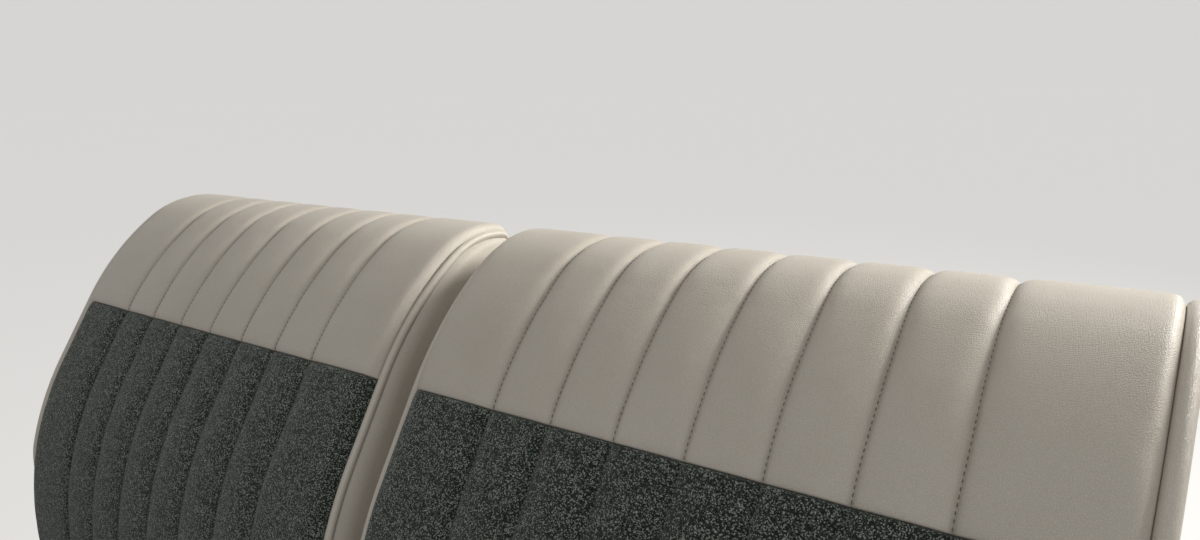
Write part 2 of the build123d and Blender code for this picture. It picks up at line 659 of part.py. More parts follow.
def side_valance(side):
    """Pressed strip that closes a side under the cushion."""
    low = FRAME_BASE - VALANCE_DROP
    high = CUSHION_BASE - SEAT_GAP
    rear = HINGE_Y - BRACKET_FOOT * 0.6 - BRACKET_EYE
    front = FRAME_FRONT - VALANCE_OUT
    x = FRAME_WIDTH / 2 + SEAT_GAP
    strip = Pos(x, front, low) * box_up(SHEET, rear - front, high - low)
    return strip if side > 0 else mirror(strip, about=Plane.YZ)


def build():
    """Every piece of the seat by its name; left is the driver's side, at +X."""
    pieces = {"latch_strip": latch_strip()}
    for word, side in (("left", 1), ("right", -1)):
        pieces["rail_" + word] = rail(side)
        pieces["riser_front_" + word] = riser(side, -1)
        pieces["riser_rear_" + word] = riser(side, 1)
        pieces["runner_" + word] = runner(side)
        pieces["side_valance_" + word] = side_valance(side)
        pieces["hinge_bracket_" + word] = outer_bracket(side)
        pieces["cushion_insert_" + word] = cushion_insert(side)
        pieces["upper_pad_" + word] = upper_pad(side)
        pieces["lower_pad_" + word] = lower_pad(side)
        pieces["back_core_" + word] = back_core(side)
        pieces["rear_board_" + word] = rear_board(side)
        pieces["hinge_arm_outer_" + word] = hinge_arm(arm_x(side, True))
        pieces["hinge_arm_inner_" + word] = hinge_arm(arm_x(side, False))
        pieces["lower_tube_" + word] = lower_tube(side)
    pieces.update(frame_tubes())
    pieces["zigzag_springs"] = springs()
    pieces["cushion_base"] = cushion_base()
    pieces["rear_crossmember"] = rear_crossmember()
    pieces["hinge_bracket_centre"] = centre_bracket()
    pieces["stop_buffers"] = stop_buffers()
    pieces["adjuster_lever"] = adjuster_lever()
    pieces["lever_clips"] = lever_clips()
    pieces["front_valance"] = front_valance()
    return pieces


os.makedirs("parts", exist_ok=True)
for name, piece in build().items():
    export_step(piece, os.path.join("parts", name + ".step"))
print("hinge axis at y", HINGE_Y, "z", HINGE_Z)
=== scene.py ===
"""Front bench seat of a two-door car of the nineteen fifties, dressed over its solids.

Metres, in the frame of the solids: the seat faces -Y, +X is the side of the driver,
+Z is up and z = 0 is the floor of the car.
"""

import json
from math import cos, pi, radians, sin

import bmesh
import bpy
import numpy as np
from mathutils import Matrix, Vector, noise

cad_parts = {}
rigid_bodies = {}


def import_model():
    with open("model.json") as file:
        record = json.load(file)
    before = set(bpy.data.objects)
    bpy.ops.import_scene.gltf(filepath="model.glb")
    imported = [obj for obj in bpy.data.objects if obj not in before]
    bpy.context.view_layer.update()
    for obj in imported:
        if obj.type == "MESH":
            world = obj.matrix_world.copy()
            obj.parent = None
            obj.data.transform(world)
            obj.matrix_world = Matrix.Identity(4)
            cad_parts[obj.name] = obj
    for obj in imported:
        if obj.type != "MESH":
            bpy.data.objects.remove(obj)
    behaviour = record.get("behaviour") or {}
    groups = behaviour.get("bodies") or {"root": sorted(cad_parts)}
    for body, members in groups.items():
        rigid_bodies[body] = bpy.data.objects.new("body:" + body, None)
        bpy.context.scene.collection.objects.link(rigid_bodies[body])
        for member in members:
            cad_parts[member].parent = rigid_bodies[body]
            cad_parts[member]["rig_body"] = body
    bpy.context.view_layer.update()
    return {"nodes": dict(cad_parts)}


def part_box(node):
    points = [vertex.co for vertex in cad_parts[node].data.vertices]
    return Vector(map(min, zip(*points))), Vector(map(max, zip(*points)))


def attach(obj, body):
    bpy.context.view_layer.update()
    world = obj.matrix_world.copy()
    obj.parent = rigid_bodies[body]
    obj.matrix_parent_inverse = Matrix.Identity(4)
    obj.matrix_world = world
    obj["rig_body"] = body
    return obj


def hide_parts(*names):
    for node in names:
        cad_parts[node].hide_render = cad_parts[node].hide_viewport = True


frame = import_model()
MM = 0.001


# The camera: beside the outer end of the driver's half, looking back and across the
# seat, with the wide lens of a phone held almost level.
CAMERA_PLACE = Vector((588.3, -192.7, 999.7)) * MM
YAW, PITCH, ROLL = radians(35.2), radians(12.68), radians(-1.24)
FOCAL_PIXELS, PICTURE_PIXELS = 835.8, 1200
SENSOR_WIDTH = 36


def placed(name, data):
    """A new object, linked to the scene."""
    obj = bpy.data.objects.new(name, data)
    bpy.context.scene.collection.objects.link(obj)
    return obj


forward = Vector((-sin(YAW) * cos(PITCH), cos(YAW) * cos(PITCH), -sin(PITCH)))
level = Vector((cos(YAW), sin(YAW), 0))
upright = level.cross(forward)
across = cos(ROLL) * level + sin(ROLL) * upright
upwards = -sin(ROLL) * level + cos(ROLL) * upright
camera = placed("camera", bpy.data.cameras.new("camera"))
camera.data.sensor_width = SENSOR_WIDTH
camera.data.lens = SENSOR_WIDTH * FOCAL_PIXELS / PICTURE_PIXELS
camera.data.clip_start = 0.01
turned_to_view = Matrix((across, upwards, -forward)).transposed().to_4x4()
camera.matrix_world = Matrix.Translation(CAMERA_PLACE) @ turned_to_view
bpy.context.scene.camera = camera
bpy.context.scene.view_settings.view_transform = "Standard"


# The studio: a plain pale floor under a pale sky, one broad soft lamp high behind the
# outer end of the driver's half that catches the crown of the backs, one fill in front.
FLOOR_HALF = 60.0
FLOOR_TONE = (0.28, 0.277, 0.27, 1)
FLOOR_GLOW = 0.57           # only the camera sees it, so the floor has the brightness of the sky
FLOOR_GLOW_TONE = (1.0, 0.99, 0.97, 1)
SKY_TONE = (1.0, 0.985, 0.96, 1)
SKY_LIGHT, SKY_SEEN = 0.37, 0.674


def add(tree, kind, inputs=(), out=0, **settings):
    """Adds a node and gives back one of its outputs. Of the inputs, a socket is linked and a value is set."""
    node = tree.nodes.new(kind)
    for key, value in settings.items():
        setattr(node, key, value)
    for socket, value in dict(inputs).items():
        if isinstance(value, bpy.types.NodeSocket):
            tree.links.new(value, node.inputs[socket])
        else:
            node.inputs[socket].default_value = value
    return node.outputs[out]


def maths(tree, operation, *values, clamp=False):
    return add(tree, "ShaderNodeMath", dict(enumerate(values)), operation=operation, use_clamp=clamp)


def spread(tree, value, low, high, to_low, to_high, **settings):
    """Maps one range of a value onto another."""
    ranges = {"Value": value, "From Min": low, "From Max": high, "To Min": to_low, "To Max": to_high}
    return add(tree, "ShaderNodeMapRange", ranges, **settings)


def finish_of(name, **sockets):
    """A new material with the values that are the same all over set on its own shader."""
    made = bpy.data.materials.new(name)
    made.use_nodes = True
    for socket, value in sockets.items():
        made.node_tree.nodes["Principled BSDF"].inputs[socket.replace("_", " ")].default_value = value
    return made, made.node_tree


def new_piece(name, points, faces=(), edges=(), flip=False):
    """A mesh piece from its points and its faces or edges."""
    mesh = bpy.data.meshes.new(name)
    faces = [tuple(reversed(f)) if flip else tuple(f) for f in faces]
    mesh.from_pydata([tuple(p) for p in points], list(edges), faces)
    mesh.update()
    return placed(name, mesh)


def soft_lamp(name, place, target, size, watts, tint):
    lamp = placed(name, bpy.data.lights.new(name, "AREA"))
    lamp.data.shape, lamp.data.size, lamp.data.energy, lamp.data.color = "DISK", size, watts, tint
    lamp.location = place
    lamp.rotation_euler = (Vector(place) - Vector(target)).to_track_quat("Z", "Y").to_euler()


floor_corners = [(x * FLOOR_HALF, y * FLOOR_HALF, 0) for x, y in ((-1, -1), (1, -1), (1, 1), (-1, 1))]
floor = new_piece("studio_floor", floor_corners, [(0, 1, 2, 3)])
floor_paint, floor_tree = finish_of("pale_floor", Base_Color=FLOOR_TONE, Roughness=0.85,
                                    Specular_IOR_Level=0.0, Emission_Color=FLOOR_GLOW_TONE)
to_camera = add(floor_tree, "ShaderNodeLightPath", out="Is Camera Ray")
floor_glow = maths(floor_tree, "MULTIPLY", to_camera, FLOOR_GLOW)
floor_tree.links.new(floor_glow, floor_tree.nodes["Principled BSDF"].inputs["Emission Strength"])
floor.data.materials.append(floor_paint)

sky = bpy.data.worlds.new("pale_sky")
sky.use_nodes = True
bpy.context.scene.world = sky
seen_directly, seen_in_gloss = (add(sky.node_tree, "ShaderNodeLightPath", out="Is %s Ray" % kind)
                                for kind in ("Camera", "Glossy"))
seen = maths(sky.node_tree, "MAXIMUM", seen_directly, seen_in_gloss)
sky_shader = sky.node_tree.nodes["Background"]
sky_shader.inputs["Color"].default_value = SKY_TONE
sky.node_tree.links.new(spread(sky.node_tree, seen, 0, 1, SKY_LIGHT, SKY_SEEN), sky_shader.inputs["Strength"])

soft_lamp("window_light", place=(1.9, 2.3, 2.3), target=(0.1, 0.3, 0.75), size=1.0, watts=118,
          tint=(1.0, 0.975, 0.93))
soft_lamp("front_fill", place=(1.5, -2.7, 2.0), target=(0, 0.1, 0.5), size=2.4, watts=19,
          tint=(0.97, 0.98, 1.0))


# Floor rails and risers: rolled and pressed mild steel, bolted to the floor pan. The
# risers are painted with the frame, the rails are left bare and lightly greased.
CREASE_DEGREES = 32


def shade_by_angle(obj, degrees):
    """Smooth shading with creases kept sharp."""
    obj.data.shade_smooth()
    obj.data.set_sharp_from_angle(angle=radians(degrees))


def dress(obj, coat, body, node=None):
    """Coats a piece and says its body and the solid that it replaces."""
    material, slot = coat
    if material:
        obj.data.materials.append(material)
    if node:
        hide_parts(node)
    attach(obj, body)


def eased(node, name, coat, rounding, segments=2):
    """A steel piece in its solid's place, with the sharp corners of the press rounded off."""
    mesh = frame["nodes"][node].data.copy()
    work = bmesh.new()
    work.from_mesh(mesh)
    bmesh.ops.remove_doubles(work, verts=work.verts, dist=1e-5)
    bmesh.ops.dissolve_limit(work, angle_limit=radians(1), verts=work.verts, edges=work.edges)
    work.to_mesh(mesh)
    work.free()
    mesh.materials.clear()
    obj = placed(name, mesh)
    shade_by_angle(obj, CREASE_DEGREES)
    edge = obj.modifiers.new("rounding", "BEVEL")
    edge.width, edge.segments = rounding, segments
    edge.limit_method, edge.angle_limit = "ANGLE", radians(CREASE_DEGREES)
    edge.harden_normals = True
    dress(obj, coat, frame["nodes"][node]["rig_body"], node)


def cloudy(tree, scale, detail=2, roughness=0.5, place=None, out="Fac"):
    """Noise over the piece in its own metres, or over the place that is given."""
    place = place or add(tree, "ShaderNodeTexCoord", out="Object")
    inputs = {"Vector": place, "Scale": scale, "Detail": detail, "Roughness": roughness}
    return add(tree, "ShaderNodeTexNoise", inputs, out)


def two_tone(tree, share, first, second):
    """The first colour where the share is 0, the second where it is 1."""
    return add(tree, "ShaderNodeMix", {0: share, 6: first, 7: second}, 2, data_type="RGBA")


def toned(tree, value, first, *between, last):
    """A colour ramp through (position, colour) stops."""
    node = tree.nodes.new("ShaderNodeValToRGB")
    tree.links.new(value, node.inputs[0])
    stops = node.color_ramp.elements
    stops[0].position, stops[0].color = first
    stops[1].position, stops[1].color = last
    for position, colour in between:
        stops.new(position).color = colour
    return node.outputs[0]


def surface(tree, colour=None, rough=None, relief=None, strength=0.0, depth=0.0):
    """Wires a material's colour, roughness and relief to its shader."""
    if relief:
        relief = add(tree, "ShaderNodeBump", {"Height": relief, "Strength": strength, "Distance": depth})
    for socket, value in (("Base Color", colour), ("Roughness", rough), ("Normal", relief)):
        if value:
            tree.links.new(value, tree.nodes["Principled BSDF"].inputs[socket])


def painted_steel_finish():
    """Black stoved enamel: satin, a little orange peel, dust lying on what faces up."""
    made, tree = finish_of("black_enamel", Specular_IOR_Level=0.45, Coat_Weight=0.25, Coat_Roughness=0.22)
    cloud = cloudy(tree, 9, 6, 0.65)
    normal = add(tree, "ShaderNodeNewGeometry", out="Normal")
    facing_up = add(tree, "ShaderNodeSeparateXYZ", {0: normal}, "Z")
    dust = maths(tree, "MULTIPLY", spread(tree, facing_up, 0.5, 1.0, 0.0, 0.55), cloud)
    tone = two_tone(tree, dust, (0.021, 0.021, 0.022, 1), (0.13, 0.12, 0.105, 1))
    surface(tree, tone, spread(tree, cloud, 0.3, 0.7, 0.3, 0.48), cloudy(tree, 420), 0.25, 0.3 * MM)
    return made


def bare_steel_finish(name, tint, rough_low, rough_high, streak):
    """Bare rolled steel: drawn lines along its length, faint stains, a film of grease."""
    made, tree = finish_of(name, Metallic=1.0)
    place = add(tree, "ShaderNodeTexCoord", out="Object")
    drawn = add(tree, "ShaderNodeMapping", {"Vector": place, "Scale": streak})
    lines = cloudy(tree, 900, 3, place=drawn)
    dark = tuple(c * 0.55 for c in tint[:3]) + (1,)
    tone = toned(tree, cloudy(tree, 22, 8, 0.7), (0.35, dark), last=(0.6, tint))
    surface(tree, tone, spread(tree, lines, 0.3, 0.7, rough_low, rough_high), lines, 0.2, 0.2 * MM)
    return made


black_coat = (painted_steel_finish(), "painted_steel")
rail_steel = bare_steel_finish("greased_rail_steel", (0.42, 0.41, 0.39, 1), 0.28, 0.5, (1, 0.02, 1))
rail_coat = (rail_steel, "rail_steel")
for word in ("left", "right"):
    eased("rail_" + word, "floor_rail_" + word, rail_coat, 0.6 * MM)
    eased("runner_" + word, "slide_runner_" + word, rail_coat, 0.5 * MM)
    for end in ("front", "rear"):
        eased(f"riser_{end}_{word}", f"pressed_riser_{end}_{word}", black_coat, 0.9 * MM)


# Frame: square tube welded at the corners, two beams over the rails, and the thin
# pressed strips that close the gap under the cushion. All stoved black.
for node in ("frame_tube_front", "frame_tube_rear", "frame_tube_side_left", "frame_tube_side_right",
             "frame_beam_left", "frame_beam_right"):
    eased(node, node + "_black", black_coat, 2.2 * MM, 3)
for node in ("front_valance", "side_valance_left", "side_valance_right"):
    eased(node, node + "_strip", black_coat, 0.6 * MM)


# Springs: seven flat zigzags of hard drawn wire, each bent to and fro across its own
# width, with their ends on the front and the rear tube.
SPRING_COUNT = 7
SPRING_PITCH = 150 * MM
SPRING_BENDS = 14
BEND_PARTS = 8
SPRING_HALF_STRAIGHT = 4.5 * MM
SPRING_FRONT, SPRING_REAR = -277.5 * MM, 212.5 * MM
WIRE_RADIUS = 2 * MM
WIRE_SIDES = 8
WIRE_Z = 162.3 * MM


def node_tree(name, **inputs):
    """A geometry tree with the named inputs; gives back it, its given values and its end node."""
    kinds = {float: "NodeSocketFloat", int: "NodeSocketInt", "material": "NodeSocketMaterial",
             "object": "NodeSocketObject"}
    tree = bpy.data.node_groups.new(name, "GeometryNodeTree")
    tree.interface.new_socket("Geometry", in_out="OUTPUT", socket_type="NodeSocketGeometry")
    tree.interface.new_socket("Geometry", in_out="INPUT", socket_type="NodeSocketGeometry")
    for label, kind in inputs.items():
        tree.interface.new_socket(label.replace("_", " "), in_out="INPUT", socket_type=kinds[kind])
    return tree, tree.nodes.new("NodeGroupInput").outputs, tree.nodes.new("NodeGroupOutput")


def finished(tree, last, given, end):
    """Closes a tree: real meshes, smooth faces, one material."""
    real = add(tree, "GeometryNodeRealizeInstances", {"Geometry": last})
    smooth = add(tree, "GeometryNodeSetShadeSmooth", {"Geometry": real})
    coated = add(tree, "GeometryNodeSetMaterial", {"Geometry": smooth, "Material": given["Finish"]})
    tree.links.new(coated, end.inputs[0])
    return tree


def grown(name, source, tree, **values):
    """Runs a tree on a source piece and gives back the plain mesh that it makes."""
    modifier = source.modifiers.new("growth", "NODES")
    modifier.node_group = tree
    for item in tree.interface.items_tree:
        key = item.name.replace(" ", "_")
        if item.in_out == "INPUT" and key in values:
            modifier[item.identifier] = values[key]
    source.update_tag()
    bpy.context.view_layer.update()
    mesh = bpy.data.meshes.new_from_object(source.evaluated_get(bpy.context.evaluated_depsgraph_get()))
    bpy.data.objects.remove(source)
    mesh.name = name
    return placed(name, mesh)


def wire_row_tree():
    """Round wire along a path, repeated in a row."""
    tree, given, end = node_tree("wire_row", Wire_Radius=float, Count=int, Pitch=float, Finish="material")
    path = add(tree, "GeometryNodeMeshToCurve", {"Mesh": given[0]})
    section = add(tree, "GeometryNodeCurvePrimitiveCircle",
                  {"Resolution": WIRE_SIDES, "Radius": given["Wire Radius"]})
    wire = add(tree, "GeometryNodeCurveToMesh", {"Curve": path, "Profile Curve": section, "Fill Caps": True})
    steps = maths(tree, "SUBTRACT", given["Count"], 1.0)
    half = maths(tree, "MULTIPLY", maths(tree, "MULTIPLY", steps, given["Pitch"]), -0.5)
    first = add(tree, "ShaderNodeCombineXYZ", {"X": half})
    gap = add(tree, "ShaderNodeCombineXYZ", {"X": given["Pitch"]})
    row = add(tree, "GeometryNodeMeshLine", {"Count": given["Count"], "Start Location": first, "Offset": gap})
    copies = add(tree, "GeometryNodeInstanceOnPoints", {"Points": row, "Instance": wire})
    return finished(tree, copies, given, end)


def path_piece(name, runs, girths=()):
    """Loose edges along rows of points, as the source of a tree; girths are radii along them."""
    points, edges = [], []
    for run in runs:
        edges += [(len(points) + i, len(points) + i + 1) for i in range(len(run) - 1)]
        points += list(run)
    obj = new_piece(name, points, edges=edges)
    if girths:
        girth = obj.data.attributes.new("girth", "FLOAT", "POINT")
        girth.data.foreach_set("value", np.concatenate(girths).astype(np.float32))
    return obj


def zigzag_path():
    pitch = (SPRING_REAR - SPRING_FRONT) / SPRING_BENDS
    points = [Vector((-SPRING_HALF_STRAIGHT, SPRING_FRONT, WIRE_Z))]
    for bend in range(SPRING_BENDS):
        way = 1 if bend % 2 == 0 else -1
        middle = Vector((way * SPRING_HALF_STRAIGHT, SPRING_FRONT + pitch * (bend + 0.5), WIRE_Z))
        for step in range(BEND_PARTS + 1):
            turn = -pi / 2 + pi * step / BEND_PARTS
            points.append(middle + Vector((way * cos(turn), sin(turn), 0)) * pitch / 2)
    points.append(Vector((-SPRING_HALF_STRAIGHT, SPRING_REAR, WIRE_Z)))
    return points


wire_steel = bare_steel_finish("oiled_spring_wire", (0.16, 0.155, 0.15, 1), 0.32, 0.5, (1, 1, 1))
springs = grown("spring_wires", path_piece("spring_path", [zigzag_path()]), wire_row_tree(),
                Wire_Radius=WIRE_RADIUS, Count=SPRING_COUNT, Pitch=SPRING_PITCH, Finish=wire_steel)
dress(springs, (None, "spring_steel"), "bench", "zigzag_springs")


# Adjuster: a plated round lever that turns in two clips under the frame, with a tooth
# for the notched strip on the driver's rail. A ribbed rubber sleeve is its grip.
GRIP_END = Vector((370, -340, 127)) * MM
GRIP_LENGTH = 66 * MM
GRIP_RIBS = 11
GRIP_SIDES = 24
MOUTH_RADIUS, COLLAR_RADIUS, RIB_RADIUS, GROOVE_RADIUS = 5.2 * MM, 7.4 * MM, 8.2 * MM, 7.2 * MM


def plated_finish():
    """Bright plate with hairline polish marks and a few dull spots."""
    made, tree = finish_of("bright_plate", Metallic=1.0, Base_Color=(0.72, 0.72, 0.73, 1))
    spots = cloudy(tree, 60, 7, 0.75)
    surface(tree, None, spread(tree, spots, 0.45, 0.7, 0.09, 0.34), spots, 0.08, 0.3 * MM)
    return made


def rubber_finish():
    """Black moulded rubber, bloomed grey where it isn't touched."""
    made, tree = finish_of("black_rubber", Specular_IOR_Level=0.35)
    bloom = cloudy(tree, 45, 8, 0.7)
    tone = toned(tree, bloom, (0.4, (0.013, 0.013, 0.013, 1)), last=(0.75, (0.05, 0.048, 0.046, 1)))
    surface(tree, tone, spread(tree, bloom, 0, 1, 0.55, 0.85), cloudy(tree, 900), 0.3, 0.2 * MM)
    return made


def tube_faces(rows, ring):
    """Faces between the rings of a tube."""
    starts = [(row * ring + k, row * ring + (k + 1) % ring) for row in range(rows - 1) for k in range(ring)]
    return [(a, b, b + ring, a + ring) for a, b in starts]


def turned(name, profile, sides, centre=(0, 0, 0), axis=(0, 0, 1)):
    """A round piece: rings of the profile's (along, radius) rows round an axis, closed at both ends."""
    axis = Vector(axis).normalized()
    first = axis.orthogonal().normalized()
    second = axis.cross(first)
    points = []
    for along, radius in profile:
        for k in range(sides):
            turn = 2 * pi * k / sides
            points.append(Vector(centre) + axis * along + (first * cos(turn) + second * sin(turn)) * radius)
    ends = [reversed(range(sides)), range(len(points) - sides, len(points))]
    return new_piece(name, points, tube_faces(len(profile), sides) + ends)


def grip_profile():
    rows = [(0.0, MOUTH_RADIUS), (0.0, COLLAR_RADIUS)]
    rib = GRIP_LENGTH / GRIP_RIBS
    for k in range(GRIP_RIBS):
        rows += [((k + 0.15) * rib, RIB_RADIUS), ((k + 0.6) * rib, RIB_RADIUS)]
        rows += [((k + 0.75) * rib, GROOVE_RADIUS), ((k + 1.0) * rib, GROOVE_RADIUS)]
    return rows + [(GRIP_LENGTH + 2 * MM, 6.5 * MM), (GRIP_LENGTH + 3 * MM, 3.5 * MM)]


plate_coat = (plated_finish(), "bright_steel")
rubber_coat = (rubber_finish(), "buffer_rubber")
eased("adjuster_lever", "slide_lever", plate_coat, 0.6 * MM)
eased("latch_strip", "notched_strip", rail_coat, 0.4 * MM)
eased("lever_clips", "lever_clip_pair", black_coat, 0.4 * MM)
grip = turned("lever_grip", grip_profile(), GRIP_SIDES, GRIP_END, (-1, 0, 0))
shade_by_angle(grip, 40)
dress(grip, rubber_coat, "bench")


# Cushion box: a spring case in cream vinyl, a plain roll across the front, plain bands
# at the sides. Foam and wadding swell each panel between its seams.
CUSHION_HALF = 593 * MM
CUSHION_STEP = 26 * MM
CUSHION_END_ROUND = 9 * MM
CUSHION_NAILED_Z = 172 * MM     # below it the cover is fixed to the frame
BOX_OUTLINE = (            # y, z of the corners of its section, and how each is rounded
    (196, 164.6, 5), (196, 312, 8), (-250, 330, 3), (-250, 352, 12), (-310, 352, 34), (-310, 164.6, 5),
)
END_RINGS = (0.96, 0.9, 0.81, 0.7, 0.57, 0.42, 0.27, 0.12)      # shares of the end panel's outline
END_CROWN = 5.5 * MM
END_CENTRE, END_HALF = (-57 * MM, 241 * MM), (253 * MM, 78 * MM)
CREAM = (0.60, 0.555, 0.485, 1)
CREAM_WORN = (0.55, 0.505, 0.435, 1)
CLOTH_FRAMES = 20


def vectors(tree, operation, *values, out=0):
    return add(tree, "ShaderNodeVectorMath", dict(enumerate(values)), out, operation=operation)


def creases(tree):
    """How deep in a fold a point lies, where the piece stores it."""
    return add(tree, "ShaderNodeAttribute", out="Fac", attribute_name="crease")


def vinyl_finish(name, base, worn, rough_low=0.42, rough_high=0.56):
    """Grained vinyl: pebbles under two millimetres, satin sheen, dust and painted shade in the folds, painted
    shade in the grooves of the grain.
    """
    made, tree = finish_of(name, Specular_IOR_Level=0.42, Sheen_Weight=0.06, Sheen_Roughness=0.4)
    place = add(tree, "ShaderNodeTexCoord", out="Object")
    warp = vectors(tree, "MULTIPLY", cloudy(tree, 260, out="Color"), (1.1 * MM, 1.1 * MM, 1.1 * MM))
    cells = {"Vector": vectors(tree, "ADD", place, warp), "Scale": 620, "Randomness": 0.95}
    pebble = add(tree, "ShaderNodeTexVoronoi", cells, "Distance", feature="DISTANCE_TO_EDGE")
    dome = spread(tree, pebble, 0.0, 0.22, 0.0, 1.0, interpolation_type="SMOOTHSTEP")
    relief = maths(tree, "MULTIPLY_ADD", cloudy(tree, 2400), 0.22, dome)
    blot = cloudy(tree, 38, 6, 0.7)
    tone = two_tone(tree, spread(tree, cloudy(tree, 7, 5, 0.6), 0.3, 0.7, 0.0, 1.0), worn, base)
    # Darker along the folds: partly dust, partly painted shade where the folds lie in shadow.
    fold_dirt_and_shade = maths(tree, "MULTIPLY", creases(tree), blot)
    # Darker in the grooves of the grain: painted shade.
    grain_groove_shade = spread(tree, dome, 0.0, 1.0, 0.16, 0.0)
    dark = maths(tree, "MULTIPLY_ADD", fold_dirt_and_shade, 0.75, grain_groove_shade, clamp=True)
    soiled_and_shaded = two_tone(tree, dark, tone, (base[0] * 0.33, base[1] * 0.3, base[2] * 0.26, 1))
    surface(tree, soiled_and_shaded, spread(tree, blot, 0.3, 0.7, rough_low, rough_high), relief, 0.55, 0.22 * MM)
    return made


def rounded_outline(corners, step):
    """A closed outline with its corners rounded, as points a step apart or less."""
    points = []
    count = len(corners)
    for i in range(count):
        here = Vector(corners[i][:2]) * MM
        before = (Vector(corners[i - 1][:2]) * MM - here).normalized()
        after = (Vector(corners[(i + 1) % count][:2]) * MM - here).normalized()
        radius = corners[i][2] * MM
        half = before.angle(after) / 2
        reach = radius / np.tan(half)
        middle = here + (before + after).normalized() * radius / sin(half)
        start, stop = here + before * reach - middle, here + after * reach - middle
        turn = start.angle_signed(stop)
        pieces = max(3, int(abs(turn) * radius / (5 * MM)) + 2)
        for k in range(pieces + 1):
            angle = -turn * k / pieces
            points.append(middle + Vector((start.x * cos(angle) - start.y * sin(angle),
                                           start.x * sin(angle) + start.y * cos(angle))))
    spaced = []
    for i, p in enumerate(points):
        q = points[(i + 1) % len(points)]
        parts = max(1, int((q - p).length / step + 0.5))
        spaced += [p.lerp(q, k / parts) for k in range(parts)]
    return spaced


def inward_ways(section):
    """Directions into an outline at its points."""
    count = len(section)
    return [-(section[i - 1] - section[(i + 1) % count]).orthogonal().normalized() for i in range(count)]


def swell(obj, held, cap, pressure, growth):
    """Inflates a sewn cover between its held seams by a short cloth run, and keeps the result."""
    scene = bpy.context.scene
    rest = np.array([v.co for v in obj.data.vertices])
    group = obj.vertex_groups.new(name="held")
    for index, weight in enumerate(held):
        if weight > 0:
            group.add([index], float(weight), "REPLACE")
    cover = obj.modifiers.new("cover", "CLOTH")
    sheet = {"quality": 6, "mass": 0.25, "tension_stiffness": 25, "compression_stiffness": 25,
             "shear_stiffness": 12, "bending_stiffness": 6.0, "vertex_group_mass": "held",
             "use_pressure": True, "uniform_pressure_force": pressure, "shrink_min": -growth}
    for key, value in sheet.items():
        setattr(cover.settings, key, value)
    cover.settings.effector_weights.gravity = 0
    cover.point_cache.frame_start, cover.point_cache.frame_end = 1, CLOTH_FRAMES
    for moment in range(1, CLOTH_FRAMES + 1):
        scene.frame_set(moment)
    done = obj.evaluated_get(bpy.context.evaluated_depsgraph_get())
    moved = np.array([v.co for v in done.data.vertices]) - rest
    obj.modifiers.remove(cover)
    obj.vertex_groups.remove(group)
    scene.frame_set(1)
    far = np.linalg.norm(moved, axis=1)
    moved *= np.minimum(1, cap / np.maximum(far, 1e-9))[:, None]
    obj.data.vertices.foreach_set("co", (rest + moved).ravel())
    obj.data.update()


def panel_crown(y, z, side):
    """How far an end panel stands out over its wadding, a little uneven."""
    along = max(0.0, 1 - ((y - END_CENTRE[0]) / END_HALF[0]) ** 2)
    up = max(0.0, 1 - ((z - END_CENTRE[1]) / END_HALF[1]) ** 2)
    uneven = noise.noise(Vector((y * 17, z * 17, side * 5.3)))
    return END_CROWN * (along * up) ** 1.5 * (1 + 0.3 * uneven)


def faced_out(obj, weld=0.0):
    """Turns the faces outwards, after joining the points that lie closer than the weld."""
    work = bmesh.new()
    work.from_mesh(obj.data)
    if weld:
        bmesh.ops.remove_doubles(work, verts=work.verts, dist=weld)
    bmesh.ops.recalc_face_normals(work, faces=work.faces)
    work.to_mesh(obj.data)
    work.free()


def smoothed(obj):
    """Smooth shading over faces divided once more."""
    obj.data.shade_smooth()
    finer = obj.modifiers.new("smoothing", "SUBSURF")
    finer.levels = finer.render_levels = 1


def cushion_box():
    """The section swept from side to side, with rounded ends and a crowned panel at each."""
    section = rounded_outline(BOX_OUTLINE, CUSHION_STEP)
    inward = inward_ways(section)
    ring = len(section)
    middle = sum(section, Vector((0, 0))) / ring
    stations = [(CUSHION_HALF - CUSHION_END_ROUND * (1 - sin(a)), CUSHION_END_ROUND * (1 - cos(a)))
                for a in (0, pi / 8, pi / 4, 3 * pi / 8, pi / 2)]
    straight, seam = stations[0][0], stations[2][0]
    count = int(2 * straight / (1.6 * CUSHION_STEP))
    flat = [(-straight + 2 * straight * k / count, 0) for k in range(1, count)]
    rows = [(-x, e) for x, e in reversed(stations)] + flat + stations
    points, held = [], []
    for x, sunk in rows:
        for p, way in zip(section, inward):
            y, z = p + way * sunk
            points.append(Vector((x, y, z)))
            held.append(1.0 if abs(abs(x) - seam) < 1e-6 or z < CUSHION_NAILED_Z else 0.0)
    faces = tube_faces(len(rows), ring)
    for side, base in ((-1, 0), (1, (len(rows) - 1) * ring)):
        last = list(range(base, base + ring))
        for share in END_RINGS:
            fresh = list(range(len(points), len(points) + ring))
            for p in points[base:base + ring]:
                y, z = middle + (Vector((p.y, p.z)) - middle) * share
                points.append(Vector((p.x + side * panel_crown(y, z, side), y, z)))
                held.append(1.0)
            for k in range(ring):
                faces.append((last[k], last[(k + 1) % ring], fresh[(k + 1) % ring], fresh[k]))
            last = fresh
        faces.append(tuple(last))
    obj = new_piece("cushion_cover", points, faces)
    faced_out(obj)
    return obj, held


vinyl_coat = (vinyl_finish("cream_vinyl", CREAM, CREAM_WORN), "cream_vinyl")
cushion, cushion_held = cushion_box()
swell(cushion, cushion_held, cap=5 * MM, pressure=2.5, growth=0.004)
smoothed(cushion)
dress(cushion, vinyl_coat, "bench", "cushion_base")


